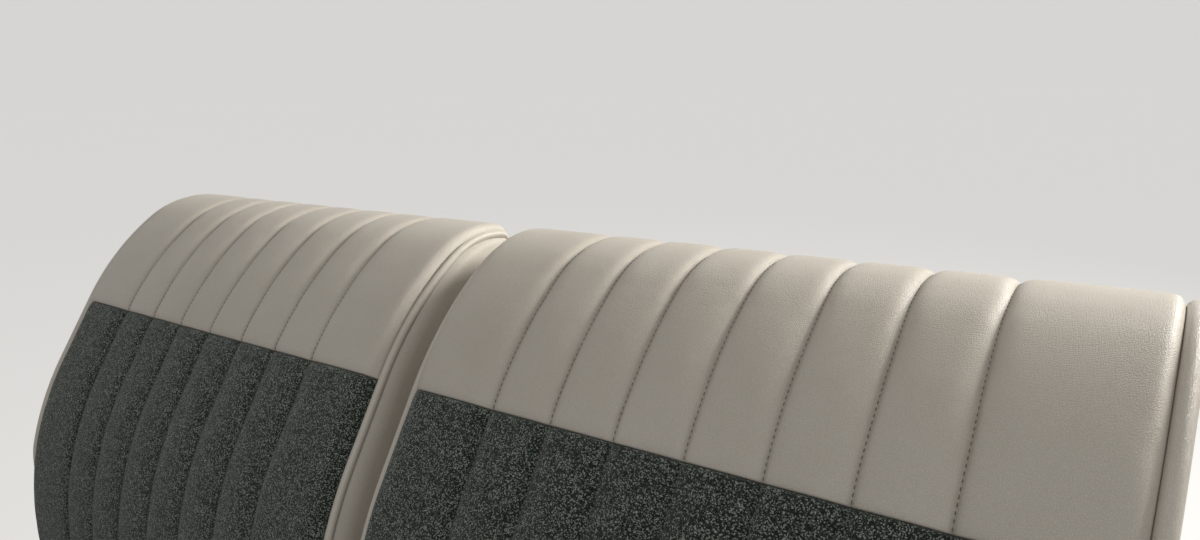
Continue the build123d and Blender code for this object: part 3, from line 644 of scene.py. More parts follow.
# Cloth inserts of the cushion: two pleated panels of tweed over wadding, stitched down
# through the foam in line with the pleats of the backs.
PLEAT_PITCH = 62 * MM
PLEAT_COUNT = 6
SIDE_PANEL = 103 * MM
BACK_LOW_X = 21 * MM
BACK_WIDTH = PLEAT_COUNT * PLEAT_PITCH + 2 * SIDE_PANEL
PLEAT_SHARES = (0, 0.02, 0.05, 0.09, 0.15, 0.24, 0.36, 0.5, 0.64, 0.76, 0.85, 0.91, 0.95, 0.98)
VALLEY = 8                  # power of the fall at a stitch line: higher is narrower
WELT_WIDTH = 7.5            # millimetres of the side that the piping takes
EDGE_STEPS = (7.5, 7.9, 8.7, 10, 12, 14.5, 18, 24, 34, 48, 63, 76, 86, 93, 97.5, 100.2, 101.8)
INSERT_FRONT, INSERT_REAR = -249.7 * MM, 196 * MM
INSERT_Z_FRONT, INSERT_Z_REAR = 352 * MM, 334 * MM
INSERT_RUN, FRONT_ROUND, REAR_ROUND = 446, 14, 20       # millimetres
FRONT_FALL, REAR_FALL = 7 * MM, 18 * MM
INSERT_STITCH_DEPTH, INSERT_EDGE_FALL, INSERT_EDGE_ROUND = 4.5 * MM, 14 * MM, 15 * MM
INSERT_SKIRT = 6 * MM           # how deep the border is turned in
YARN_WIDE, YARN_HIGH = 0.88 * MM, 0.78 * MM
OUTER_PANEL_SHARE = 1 - 14 / 103        # the outer panel of an insert is narrower than that of a back
PRESSING_PASSES = 12
FOLDS_KEPT = 0.15
DOWN = np.array((0, 0, -1.0))
SIDES = (("left", 1), ("right", -1))


def tweed_finish():
    """Coarse flat weave: near black, dark green and pale green-grey yarns mixed thread by thread."""
    made, tree = finish_of("green_tweed", Specular_IOR_Level=0.2, Sheen_Weight=0.25, Sheen_Roughness=0.5,
                           Roughness=0.9)
    cloth = add(tree, "ShaderNodeUVMap", uv_map="cloth")
    yarn = vectors(tree, "MULTIPLY", cloth, (1 / YARN_WIDE, 1 / YARN_HIGH, 1))
    sway = cloudy(tree, 0.22, place=yarn, out="Color")
    swayed = vectors(tree, "MULTIPLY_ADD", sway, (0.8, 0.8, 0), yarn)
    cell = vectors(tree, "FLOOR", swayed)
    pick = add(tree, "ShaderNodeTexWhiteNoise", {"Vector": cell}, "Value", noise_dimensions="3D")
    slub = maths(tree, "MULTIPLY_ADD", cloudy(tree, 120, 3, place=cloth), 0.3, pick)
    tone = toned(tree, maths(tree, "SUBTRACT", slub, 0.15), (0.15, (0.004, 0.005, 0.0045, 1)),
                 (0.4, (0.010, 0.017, 0.013, 1)), (0.6, (0.032, 0.046, 0.037, 1)),
                 (0.78, (0.106, 0.128, 0.104, 1)), last=(0.95, (0.335, 0.365, 0.315, 1)))
    centred = vectors(tree, "SUBTRACT", vectors(tree, "FRACTION", swayed), (0.5, 0.5, 0))
    away = vectors(tree, "LENGTH", centred, out="Value")
    height = maths(tree, "MULTIPLY_ADD", pick, 0.5, spread(tree, away, 0.15, 0.7, 1.0, 0.0))
    # Darker along the stitch folds and the turned-in border: dirt and painted shade.
    dark = maths(tree, "MULTIPLY", creases(tree), 0.35)
    soiled_and_shaded = two_tone(tree, dark, tone, (0.006, 0.008, 0.007, 1))
    surface(tree, soiled_and_shaded, None, height, 0.7, 0.4 * MM)
    return made


def pleat_columns():
    """Distances of the columns from a back's low edge, and the numbers of those on a stitch line."""
    columns, stitched = [u * MM for u in EDGE_STEPS], []
    for number in range(PLEAT_COUNT):
        stitched.append(len(columns))
        start = SIDE_PANEL + number * PLEAT_PITCH
        columns += [start + share * PLEAT_PITCH for share in PLEAT_SHARES]
    stitched.append(len(columns))
    return columns + [BACK_WIDTH - SIDE_PANEL] + [BACK_WIDTH - u * MM for u in reversed(EDGE_STEPS)], stitched


COLUMNS, STITCH_COLUMNS = pleat_columns()


def edge_curve(share):
    """A rounded edge: 0 inside and 1 at the seam, where the share is 0."""
    return 1 - (1 - (1 - share) ** 2.2) ** 0.5


def pleat_fall(u, depth, edge_fall, edge_round, low=WELT_WIDTH * MM, high=BACK_WIDTH - WELT_WIDTH * MM):
    """How far the cover lies under its crown at u: down to the seams, round at the outer edges."""
    first, last = SIDE_PANEL, BACK_WIDTH - SIDE_PANEL
    if first - 1e-9 <= u <= last + 1e-9:
        share = ((u - first) / PLEAT_PITCH) % 1.0
        fall = depth * abs(2 * min(share, 1.0) - 1) ** VALLEY
    else:
        near = (first - u) if u < first else (u - last)
        fall = depth * max(0.0, 1 - near / (PLEAT_PITCH / 2)) ** VALLEY
    edge = max(0.0, min(u - low, high - u))
    if edge < edge_round:
        fall = max(fall, edge_fall * edge_curve(edge / edge_round))
    return fall


def grid_faces(rows, width):
    return [(r * width + c, r * width + c + 1, (r + 1) * width + c + 1, (r + 1) * width + c)
            for r in range(rows - 1) for c in range(width - 1)]


def grid_border(rows, width):
    """Rows and columns of a grid's outermost points, once round."""
    border = [(0, c) for c in range(width)] + [(r, width - 1) for r in range(1, rows)]
    border += [(rows - 1, c) for c in range(width - 2, -1, -1)]
    return border + [(r, 0) for r in range(rows - 2, 0, -1)]


def closed_pad(name, front, skirt_depth, inward, row_of, flip):
    """Closes a quilted face into a pad: its border turned in, and a plain back.

    front is a grid of points (rows, columns), inward the direction of each row and
    row_of its place along the cloth."""
    rows, width = front.shape[:2]
    points = list(front.reshape(-1, 3))
    faces = grid_faces(rows, width)
    border = grid_border(rows, width)
    ring = [len(points) + i for i in range(len(border))]
    points += [front[r, c] + inward[r] * skirt_depth for r, c in border]
    spot = dict(zip(border, ring))
    flat = [r * width + c for r, c in border]
    for i in range(len(border)):
        j = (i + 1) % len(border)
        faces.append((flat[j], flat[i], ring[i], ring[j]))
    faces.append([spot[(0, c)] for c in range(width)] + [spot[(1, width - 1)], spot[(1, 0)]])
    for r in range(1, rows - 2):
        faces.append((spot[(r, 0)], spot[(r, width - 1)], spot[(r + 1, width - 1)], spot[(r + 1, 0)]))
    faces.append([spot[(rows - 2, 0)], spot[(rows - 2, width - 1)]]
                 + [spot[(rows - 1, c)] for c in range(width - 1, -1, -1)])
    obj = new_piece(name, points, faces, flip=flip)
    sheet = obj.data.uv_layers.new(name="cloth")
    steps = np.linalg.norm(np.diff(front, axis=1), axis=2).mean(axis=0)
    along = np.concatenate(([0.0], np.cumsum(steps)))
    where = {r * width + c: (along[c], row_of[r]) for r in range(rows) for c in range(width)}
    for i, (r, c) in enumerate(border):
        beyond_u = -skirt_depth if c == 0 else skirt_depth if c == width - 1 else 0.0
        beyond_v = -skirt_depth if r == 0 else skirt_depth if r == rows - 1 else 0.0
        where[ring[i]] = (along[c] + beyond_u, row_of[r] + beyond_v)
    for loop in obj.data.loops:
        sheet.data[loop.index].uv = where[loop.vertex_index]
    smoothed(obj)
    return obj


def mark_creases(obj, face, width_of_mark):
    """Stores how deep in a fold each point lies, 0 to 1, for the dirt and painted shade in the material."""
    lines = [COLUMNS[i] for i in STITCH_COLUMNS]
    row = [min(1.0, sum(np.exp(-((u - line) / width_of_mark) ** 2) for line in lines)) for u in COLUMNS]
    turned_in = len(obj.data.vertices) - face.shape[0] * face.shape[1]
    mark = obj.data.attributes.new("crease", "FLOAT", "POINT")
    mark.data.foreach_set("value", np.array(row * len(face) + [1.0] * turned_in, np.float32))


def insert_line(share):
    """Point of an insert's upper line, from the front seam to the rear edge."""
    y = INSERT_FRONT + (INSERT_REAR - INSERT_FRONT) * share
    z = INSERT_Z_FRONT + (INSERT_Z_REAR - INSERT_Z_FRONT) * share
    front = max(0.0, 1 - share * INSERT_RUN / FRONT_ROUND)
    rear = max(0.0, 1 - (1 - share) * INSERT_RUN / REAR_ROUND)
    return y, z - (FRONT_FALL * front ** 2 + REAR_FALL * (1 - (1 - rear ** 2) ** 0.5))


def insert_shares(low, high, count):
    """Shares and places of the rows along an insert, closer at both ends."""
    shares = [0, 0.003, 0.008, 0.016, 0.03, 0.05, *np.linspace(low, high, count)]
    shares += [0.955, 0.968, 0.979, 0.988, 0.995, 1.0]
    return shares, [share * (INSERT_REAR - INSERT_FRONT) for share in shares]


def cushion_insert_grid(shares):
    grid = np.zeros((len(shares), len(COLUMNS), 3))
    outer = BACK_WIDTH - SIDE_PANEL
    for r, share in enumerate(shares):
        y, z = insert_line(share)
        for c, u in enumerate(COLUMNS):
            x = BACK_LOW_X + (u if u < outer else outer + (u - BACK_WIDTH + SIDE_PANEL) * OUTER_PANEL_SHARE)
            grid[r, c] = (x, y, z - pleat_fall(u, INSERT_STITCH_DEPTH, INSERT_EDGE_FALL, INSERT_EDGE_ROUND))
    return grid


def quilted_grid(name, grid, cap, pressure, growth):
    """Runs the cloth on a quilted face, held at stitches and edges, and presses out folds across a pleat."""
    rows, width = grid.shape[:2]
    sheet = new_piece(name, grid.reshape(-1, 3), grid_faces(rows, width))
    held = np.zeros((rows, width))
    held[:, STITCH_COLUMNS] = held[:, [0, -1]] = held[[0, -1], :] = 1
    swell(sheet, held.ravel(), cap, pressure, growth)
    moved = np.array([v.co for v in sheet.data.vertices]).reshape(grid.shape) - grid
    bpy.data.objects.remove(sheet)
    pressed = moved.copy()
    for _ in range(PRESSING_PASSES):
        pressed[1:-1] = pressed[1:-1] / 2 + (pressed[:-2] + pressed[2:]) / 4
    return grid + pressed + (moved - pressed) * FOLDS_KEPT


def on_side(grid, side):
    """A grid of the left, as it is or mirrored to the right."""
    return grid if side > 0 else grid * np.array((-1, 1, 1))


tweed_coat = (tweed_finish(), "green_tweed")
insert_steps, insert_rows = insert_shares(0.07, 0.94, 48)
insert_grid = quilted_grid("insert_cloth", cushion_insert_grid(insert_steps), cap=3.5 * MM, pressure=3.0,
                           growth=0.006)
for word, side in SIDES:
    face = on_side(insert_grid, side)
    insert = closed_pad("tweed_insert_" + word, face, INSERT_SKIRT, [DOWN] * len(face), insert_rows, side < 0)
    mark_creases(insert, face, 2.6 * MM)
    dress(insert, tweed_coat, "bench", "cushion_insert_" + word)


# Middle rib of the cushion: a plain stuffed strip of vinyl between the two inserts, as
# high as they are, which covers the join in line with the gap between the backs.
RIB_HALF = 19.5 * MM
RIB_STEPS = (0.0, 0.4, 1.3, 2.8, 5.0, 8.0, 12.0, 16.0)     # millimetres in from an edge
RIB_SINK, RIB_FALL, RIB_ROUND, RIB_CROWN, RIB_SKIRT = 1.0 * MM, 11 * MM, 9 * MM, 1.2 * MM, 7 * MM


def rib_grid(shares):
    steps = [s * MM for s in RIB_STEPS]
    places = [-RIB_HALF + s for s in steps] + [0.0] + [RIB_HALF - s for s in reversed(steps)]
    grid = np.zeros((len(shares), len(places), 3))
    for r, share in enumerate(shares):
        y, z = insert_line(share)
        for c, x in enumerate(places):
            fall = RIB_FALL * edge_curve(min(1.0, (RIB_HALF - abs(x)) / RIB_ROUND))
            grid[r, c] = (x, y, z - RIB_SINK - fall + RIB_CROWN * (1 - (x / RIB_HALF) ** 2))
    return grid


rib_steps, rib_rows = insert_shares(0.08, 0.93, 30)
rib_face = rib_grid(rib_steps)
rib = closed_pad("cushion_rib", rib_face, RIB_SKIRT, [DOWN] * len(rib_face), rib_rows, False)
dress(rib, vinyl_coat, "bench")


# Rear crossmember and hinge brackets: folded and pressed sheet welded across the back
# of the frame. Its shelf carries four rubber buffers, on which the backs rest.
eased("rear_crossmember", "rear_sheet_member", black_coat, 0.7 * MM)
for word in ("left", "right", "centre"):
    eased("hinge_bracket_" + word, "pivot_bracket_" + word, black_coat, 0.8 * MM)
eased("stop_buffers", "rubber_stops", rubber_coat, 1.0 * MM)


# Back frames: on each side of a back one pressed arm, which turns on the pin, and a
# tube across the foot of the back that comes to rest on the buffers.
for word in ("left", "right"):
    for end in ("outer", "inner"):
        eased(f"hinge_arm_{end}_{word}", f"back_arm_{end}_{word}", black_coat, 0.6 * MM)
    eased("lower_tube_" + word, "foot_tube_" + word, black_coat, 0.5 * MM)


# Arm screws: one plated oval-head screw in a cup washer through the top of each arm
# into the frame of the back, and one round nut on a washer at the end of the foot tube.
ARM_SCREW = ((-1.0, 8.5), (0.5, 8.5), (1.5, 7.4), (2.0, 6.0), (1.4, 5.6), (2.4, 4.6), (3.1, 2.6), (3.3, 0.6))
ARM_NUT = ((-1.0, 10.5), (0.8, 10.5), (1.2, 9.6), (1.2, 7.0), (5.0, 7.0), (5.8, 6.0), (5.8, 3.2), (3.6, 2.6))
ARM_SCREW_YZ, ARM_NUT_YZ = (265 * MM, 480 * MM), (275 * MM, 295 * MM)


def fastener_tree():
    """A small hardware piece set on each point and turned to the point's own direction."""
    tree, given, end = node_tree("set_hardware", Hardware="object", Finish="material")
    way = add(tree, "GeometryNodeInputNamedAttribute", {"Name": "way"}, data_type="FLOAT_VECTOR")
    turn = add(tree, "FunctionNodeAlignRotationToVector", {"Vector": way}, axis="Z")
    unit = add(tree, "GeometryNodeObjectInfo", {"Object": given["Hardware"]}, "Geometry")
    places = {"Points": given[0], "Instance": unit, "Rotation": turn}
    return finished(tree, add(tree, "GeometryNodeInstanceOnPoints", places), given, end)


def hardware_unit(name, profile, sides):
    """One screw or nut from a profile in millimetres."""
    return turned(name, [(along * MM, radius * MM) for along, radius in profile], sides)


def set_hardware(name, unit, places, body):
    """Plated copies of one unit at (point, direction) rows."""
    source = new_piece(name + "_places", [p for p, _ in places])
    ways = source.data.attributes.new("way", "FLOAT_VECTOR", "POINT")
    ways.data.foreach_set("vector", np.array([tuple(d) for _, d in places], np.float32).ravel())
    fitted = grown(name, source, hardware_tree, Hardware=unit, Finish=plate_coat[0])
    dress(fitted, (None, "bright_steel"), body)


hardware_tree = fastener_tree()
arm_screw = hardware_unit("arm_screw", ARM_SCREW, 20)
tube_nut = hardware_unit("tube_nut", ARM_NUT, 18)
for word, side in SIDES:
    outer_x = max(abs(corner[0]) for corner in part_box("hinge_arm_outer_" + word))
    inner_x = min(abs(corner[0]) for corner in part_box("hinge_arm_inner_" + word))
    faces_out = ((outer_x, side), (inner_x, -side))
    for name, unit, (y, z) in (("arm_screws_", arm_screw, ARM_SCREW_YZ), ("arm_nuts_", tube_nut, ARM_NUT_YZ)):
        places = [(Vector((side * x, y, z)), Vector((way, 0, 0))) for x, way in faces_out]
        set_hardware(name + word, unit, places, "back_" + word)
bpy.data.objects.remove(arm_screw)
bpy.data.objects.remove(tube_nut)


# Fronts of the backs: one quilted cover over foam, cream vinyl above the straight seam
# and tweed below it. Seven rows of stitching run up the face and over the crown.
FACE_Y, FACE_Z = 190 * MM, 445 * MM
LUMBAR_RADIUS, WAIST_RUN, SHOULDER_RADIUS, CROWN_RADIUS = 400 * MM, 80 * MM, 340 * MM, 120 * MM
LEAN_LOW, LEAN_HIGH, LEAN_SHOULDER, LEAN_CROWN, LEAN_REAR_SEAM = -22, 33, 58, 100, 168
REAR_EDGE_RADIUS = 28 * MM
EDGE_FALL, EDGE_ROUND, PAD_SKIRT = 7.5 * MM, 9.5 * MM, 12 * MM
STITCH_DEPTH_LOW, STITCH_DEPTH_HIGH = 3.4 * MM, 5.2 * MM
DEEPER_FROM, DEEPER_OVER = 0.44, 0.14       # metres up the face
SEAM_DIP, SEAM_DIP_WIDTH = 1.6 * MM, 3.5 * MM
WAVER, PUCKER = 0.9 * MM, 0.15 * MM         # the wander of a seam, and small puckers in the cover
WAVER_FADE = 30 * MM
ARM_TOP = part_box("hinge_arm_outer_left")[1][2]
ARM_CLEAR, ARM_FADE = 8 * MM, 55 * MM
SEAM_Z, CREST_Z = 730 * MM, 851 * MM
FLARE_AT_SEAM, FLARE_AT_CREST, INNER_FLARE = 2.5 * MM, 7.5 * MM, 1.5 * MM


class SideLine:
    """A side outline walked by headings: 0 is up, 90 to the rear, 180 down."""

    def __init__(self, y, z, lean):
        self.place, self.lean, self.length = Vector((y, z)), lean, 0.0
        self.rows = [(0.0, y, z, lean)]

    def step(self, length, lean):
        self.place += Vector((sin(radians(lean)), cos(radians(lean)))) * length
        self.length += length

    def mark(self):
        self.rows.append((self.length, self.place.x, self.place.y, self.lean))

    def run(self, length):
        self.step(length, self.lean)
        self.mark()
        return self

    def bend(self, radius, lean_to):
        parts = max(4, int(abs(lean_to - self.lean) * 2))
        turn = (lean_to - self.lean) / parts
        chord = 2 * radius * sin(radians(abs(turn)) / 2)
        for _ in range(parts):
            self.step(chord, self.lean + turn / 2)
            self.lean += turn
            self.mark()
        return self

    def at(self, length, under=0.0):
        """Point and outward direction at a length along the line, some way under it."""
        rows = np.array(self.rows)
        y, z, lean = (np.interp(length, rows[:, 0], rows[:, k]) for k in (1, 2, 3))
        out = np.array((0, -cos(radians(lean)), sin(radians(lean))))
        return np.array((0, y, z)) - out * under, out


low_y = FACE_Y + LUMBAR_RADIUS * (1 - cos(radians(LEAN_LOW)))
low_z = FACE_Z + LUMBAR_RADIUS * sin(radians(LEAN_LOW))
face_line = SideLine(low_y, low_z, LEAN_LOW).bend(LUMBAR_RADIUS, LEAN_HIGH).run(WAIST_RUN)
SEAM_LENGTH = face_line.length
face_line.bend(SHOULDER_RADIUS, LEAN_SHOULDER).bend(CROWN_RADIUS, LEAN_CROWN)
face_line.bend(REAR_EDGE_RADIUS, LEAN_REAR_SEAM)
FACE_LENGTH = face_line.length


def smooth_share(value):
    """0 below 0, 1 above 1, and a smooth rise between."""
    share = min(1.0, max(0.0, value))
    return share * share * (3 - 2 * share)


def above_arms(z):
    """0 beside the hinge arms, 1 a little above them, where nothing holds the sides in."""
    return smooth_share((z - ARM_TOP - ARM_CLEAR) / ARM_FADE)


def across_x(u, z):
    """Where a point lies that is u from the low edge of the left back. Its outer side flares to the crown."""
    rise = min(1.0, max(0.0, (z - SEAM_Z) / (CREST_Z - SEAM_Z)))
    outer_flare = above_arms(z) * (FLARE_AT_SEAM + (FLARE_AT_CREST - FLARE_AT_SEAM) * rise)
    outer = max(0.0, (u - BACK_WIDTH + SIDE_PANEL) / SIDE_PANEL)
    inner = max(0.0, 1 - u / SIDE_PANEL)
    return BACK_LOW_X + u + outer * outer_flare - inner * INNER_FLARE * above_arms(z)


def face_rows():
    """Lengths of the rows up the face; one of them is the seam of cloth and vinyl."""
    lower = list(np.linspace(0, SEAM_LENGTH - 9 * MM, 66))
    seam = [SEAM_LENGTH + step * MM for step in (-4.5, -1.5, 0, 1.5, 4.5)]
    return lower + seam + list(np.linspace(SEAM_LENGTH + 9 * MM, FACE_LENGTH, 54))


def stitch_depth(length):
    deeper = smooth_share((length - DEEPER_FROM) / DEEPER_OVER)
    return STITCH_DEPTH_LOW + (STITCH_DEPTH_HIGH - STITCH_DEPTH_LOW) * deeper


def back_face_grid(lengths):
    """The quilted face before it swells, with the slight waver of a hand-guided machine."""
    grid = np.zeros((len(lengths), len(COLUMNS), 3))
    for r, length in enumerate(lengths):
        depth = stitch_depth(length)
        for c, u in enumerate(COLUMNS):
            waver = noise.noise(Vector((u * 9, length * 14, 3.1))) * WAVER
            pucker = noise.noise(Vector((u * 30, length * 95, 7.7))) * PUCKER
            inside = min(1.0, u / WAVER_FADE, (BACK_WIDTH - u) / WAVER_FADE)
            fall = pleat_fall(u, depth, EDGE_FALL, EDGE_ROUND) + pucker * inside
            point, _ = face_line.at(length, fall)
            grid[r, c] = point + np.array((across_x(u, point[2]) + waver * inside, 0, 0))
    return grid


FACE_ROWS = face_rows()
SEAM_ROW = FACE_ROWS.index(SEAM_LENGTH)
inward_of_row = [-face_line.at(length)[1] for length in FACE_ROWS]
face_grid = quilted_grid("back_cloth", back_face_grid(FACE_ROWS), cap=3.5 * MM, pressure=3.0, growth=0.005)
for r, length in enumerate(FACE_ROWS):
    dip = SEAM_DIP * np.exp(-((length - SEAM_LENGTH) / SEAM_DIP_WIDTH) ** 2)
    face_grid[r] += inward_of_row[r] * dip
for word, side in SIDES:
    for part, rows, node, coat in (("vinyl_top_", slice(SEAM_ROW, None), "upper_pad_", vinyl_coat),
                                   ("tweed_face_", slice(0, SEAM_ROW + 1), "lower_pad_", tweed_coat)):
        face = on_side(face_grid, side)[rows]
        pad = closed_pad(part + word, face, PAD_SKIRT, inward_of_row[rows], FACE_ROWS[rows], side < 0)
        mark_creases(pad, face, 2.2 * MM)
        dress(pad, coat, "back_" + word, node + word)


# Body of a back: foam and wadding over the frame, in plain cream vinyl. A band runs up
# each side and narrows to the crown, and the cover goes on down the rear.
REAR_RADIUS, REAR_LEAN_TOP, REAR_LEAN_LOW = 1370 * MM, 214, 192
REAR_ROWS = 64
BAND_PARTS = 6
CORNER_STEPS = (0.0, 1 * MM, 2.5 * MM, 4.5 * MM)
SIDE_FALL = 15 * MM
SIDE_EASE = 1.5 * MM
SIDE_STAND = 2.0 * MM       # how far the sides stand out above the arms
SIDE_REACH = 60 * MM
BAND_CROWN_LOW, BAND_CROWN_HIGH = 1.4 * MM, 2.6 * MM
REAR_CORNER, REAR_CORNER_ROUND = 11 * MM, 14 * MM
REAR_SINK, REAR_CROWN, PLEATS_END = 1.5 * MM, 2.0 * MM, 30 * MM
rear_line = SideLine(*face_line.place, LEAN_REAR_SEAM).bend(REAR_EDGE_RADIUS, REAR_LEAN_TOP)
rear_line.bend(REAR_RADIUS, REAR_LEAN_LOW)
REAR_LENGTH = rear_line.length


def side_x(u, z):
    """Plane of a side of the body: close to the arm below, standing out above it."""
    edge = min(u, BACK_WIDTH - u)
    way = -1 if u < BACK_WIDTH / 2 else 1
    hold = max(0.0, 1 - edge / SIDE_REACH)
    return across_x(u, z) - way * hold * (SIDE_EASE - SIDE_STAND * above_arms(z) * (1 if way < 0 else 0.5))


def back_body_grid():
    """Rings from the crown down: front seam, side band, rear, side band, front seam."""
    places = [*CORNER_STEPS, *COLUMNS, *(BACK_WIDTH - u for u in reversed(CORNER_STEPS))]
    rings = []
    for k in range(REAR_ROWS + 1):
        share = (k / REAR_ROWS) ** 1.35
        down = REAR_LENGTH * share
        fade = max(0.0, 1 - down / PLEATS_END) ** 2
        front, _ = face_line.at(FACE_LENGTH * (1 - share), SIDE_FALL)
        rear_row = []
        for u in places:
            corner = REAR_CORNER * (1 - fade) + SIDE_FALL * fade
            rounded = REAR_CORNER_ROUND * (1 - fade) + EDGE_ROUND * fade
            fall = pleat_fall(u, stitch_depth(FACE_LENGTH) * fade, corner, rounded, 0.0, BACK_WIDTH)
            crown = REAR_CROWN * (1 - fade) * min(1.0, min(u, BACK_WIDTH - u) / SIDE_REACH)
            point, _ = rear_line.at(down, fall - crown + REAR_SINK * (1 - fade))
            rear_row.append(point + np.array((side_x(u, point[2]), 0, 0)))
        bands = []
        for u, rear, way in ((0.0, rear_row[0], -1), (BACK_WIDTH, rear_row[-1], 1)):
            start = np.array((side_x(u, front[2]), front[1], front[2]))
            crown = BAND_CROWN_LOW + (BAND_CROWN_HIGH - BAND_CROWN_LOW) * above_arms(front[2])
            bands.append([start + (rear - start) * part / BAND_PARTS
                          + np.array((way * crown * sin(pi * part / BAND_PARTS), 0, 0))
                          for part in range(BAND_PARTS)])
        rings.append(bands[0] + rear_row + list(reversed(bands[1])))
    return np.array(rings)


def back_body(name, rings, flip):
    rows, width = rings.shape[:2]
    quads = grid_faces(rows, width)
    quads += [((r + 1) * width, (r + 2) * width - 1, (r + 1) * width - 1, r * width) for r in range(rows - 1)]
    ends = [range(width), reversed(range((rows - 1) * width, rows * width))]
    faces = [tuple(reversed(f)) for f in quads] + [tuple(f) for f in ends]
    obj = new_piece(name, rings.reshape(-1, 3), faces, flip=flip)
    faced_out(obj, weld=0.2 * MM)
    obj.data.shade_smooth()
    return obj


body_grid = back_body_grid()
for word, side in SIDES:
    body = back_body("back_body_" + word, on_side(body_grid, side), side < 0)
    dress(body, vinyl_coat, "back_" + word, "back_core_" + word)


# Rear panel: a sheet of hardboard covered in the same vinyl, its edge turned over, held
# by plated oval-head screws in cup washers.
PANEL_INSET = 32 * MM
PANEL_THICK = 4 * MM
PANEL_LIFT = 1.6 * MM
PANEL_CORNER = 16 * MM
PANEL_EDGE = 5 * MM
PANEL_COLUMNS, PANEL_ROWS = 28, 26
PANEL_TRIM = REAR_RADIUS * radians(2)
PANEL_TOP = REAR_EDGE_RADIUS * radians(REAR_LEAN_TOP - LEAN_REAR_SEAM) + PANEL_TRIM
PANEL_WIDE, PANEL_TALL = BACK_WIDTH - 2 * PANEL_INSET, REAR_LENGTH - PANEL_TRIM - PANEL_TOP
CUP_SCREW = ((-1, 5.5), (0.4, 5.5), (1.5, 4.3), (1.7, 3.4), (1.2, 3.1), (2.1, 2.4), (2.5, 1.2), (2.6, 0.4))
SCREW_ROW = (0.03, 0.27, 0.5, 0.73, 0.97)       # shares of the panel's width
SCREW_SHARES = ((0.03, SCREW_ROW), (0.5, (0.03, 0.97)), (0.97, SCREW_ROW))


def panel_grid(rise):
    """One side of the panel as a grid that fills its rounded rectangle."""
    grid = np.zeros((PANEL_ROWS + 1, PANEL_COLUMNS + 1, 3))
    for r in range(PANEL_ROWS + 1):
        v = r / PANEL_ROWS * PANEL_TALL
        end = min(v, PANEL_TALL - v)
        narrow = PANEL_CORNER - (PANEL_CORNER ** 2 - max(0.0, PANEL_CORNER - end) ** 2) ** 0.5
        for c in range(PANEL_COLUMNS + 1):
            u = narrow + (PANEL_WIDE - 2 * narrow) * c / PANEL_COLUMNS
            edge = min(end, u - narrow, PANEL_WIDE - narrow - u)
            thick = rise * (1 - max(0.0, 1 - edge / PANEL_EDGE) ** 2)
            point, _ = rear_line.at(PANEL_TOP + v, -PANEL_LIFT - thick)
            grid[r, c] = point + np.array((BACK_LOW_X + PANEL_INSET + u, 0, 0))
    return grid


def rear_panel(name, side):
    """Both sides of the panel and the rim between them."""
    outer, inner = (on_side(panel_grid(rise), side) for rise in (PANEL_THICK, 0))
    rows, width = outer.shape[:2]
    size = rows * width
    quads = grid_faces(rows, width)
    faces = [tuple(reversed(q)) for q in quads] + [tuple(i + size for i in q) for q in quads]
    rim = [r * width + c for r, c in grid_border(rows, width)]
    faces += [(a, b, b + size, a + size) for a, b in zip(rim, rim[1:] + rim[:1])]
    panel = new_piece(name, [*outer.reshape(-1, 3), *inner.reshape(-1, 3)], faces, flip=side < 0)
    faced_out(panel)
    panel.data.shade_smooth()
    return panel


cup_screw = hardware_unit("cup_screw", CUP_SCREW, 14)
for word, side in SIDES:
    panel = rear_panel("rear_panel_" + word, side)
    dress(panel, vinyl_coat, "back_" + word, "rear_board_" + word)
    places = []
    for v, shares in SCREW_SHARES:
        point, out = rear_line.at(PANEL_TOP + PANEL_TALL * v, -PANEL_LIFT - PANEL_THICK)
        for u in shares:
            x = side * (BACK_LOW_X + PANEL_INSET + PANEL_WIDE * u)
            places.append((point + np.array((x, 0, 0)), out))
    set_hardware("panel_screws_" + word, cup_screw, places, "back_" + word)
bpy.data.objects.remove(cup_screw)


# Piping: a cord sewn in a strip of the same vinyl, along the front edges and the top
# rear seam of each back, round the inserts and round the ends of the cushion. Above
# the arm the outer edge of a back has a fat roll in its place.
PIPING_RADIUS, PIPING_FALL = 4.0 * MM, 11.0 * MM
ROLL_RADIUS, ROLL_FALL = 6.5 * MM, 9.0 * MM
INSERT_PIPING, INSERT_PIPING_DROP, INSERT_CORNER_DROP = 4.2 * MM, 17.3 * MM, 13.5 * MM
INSERT_CORNER, FRONT_PIPING_OUT, FRONT_PIPING_DROP = 9 * MM, 1.2 * MM, 4.5 * MM
END_PIPING, END_PIPING_X, END_PIPING_SUNK = 3.2 * MM, CUSHION_HALF - 2.6 * MM, 0.8 * MM
END_PIPING_PROUD_Z = 300 * MM
WELT_TOUCH = 0.93           # share of its radius at which a welt lies off the edge
WELT_SIDES = 12


def piping_tree():
    """A round welt along a path; its radius is the path's girth."""
    tree, given, end = node_tree("sewn_piping", Sides=int, Finish="material")
    path = add(tree, "GeometryNodeMeshToCurve", {"Mesh": given[0]})
    section = add(tree, "GeometryNodeCurvePrimitiveCircle", {"Resolution": given["Sides"], "Radius": 1.0})
    girth = add(tree, "GeometryNodeInputNamedAttribute", {"Name": "girth"}, data_type="FLOAT")
    welt = add(tree, "GeometryNodeCurveToMesh", {"Curve": path, "Profile Curve": section, "Scale": girth,
                                                 "Fill Caps": True})
    return finished(tree, welt, given, end)


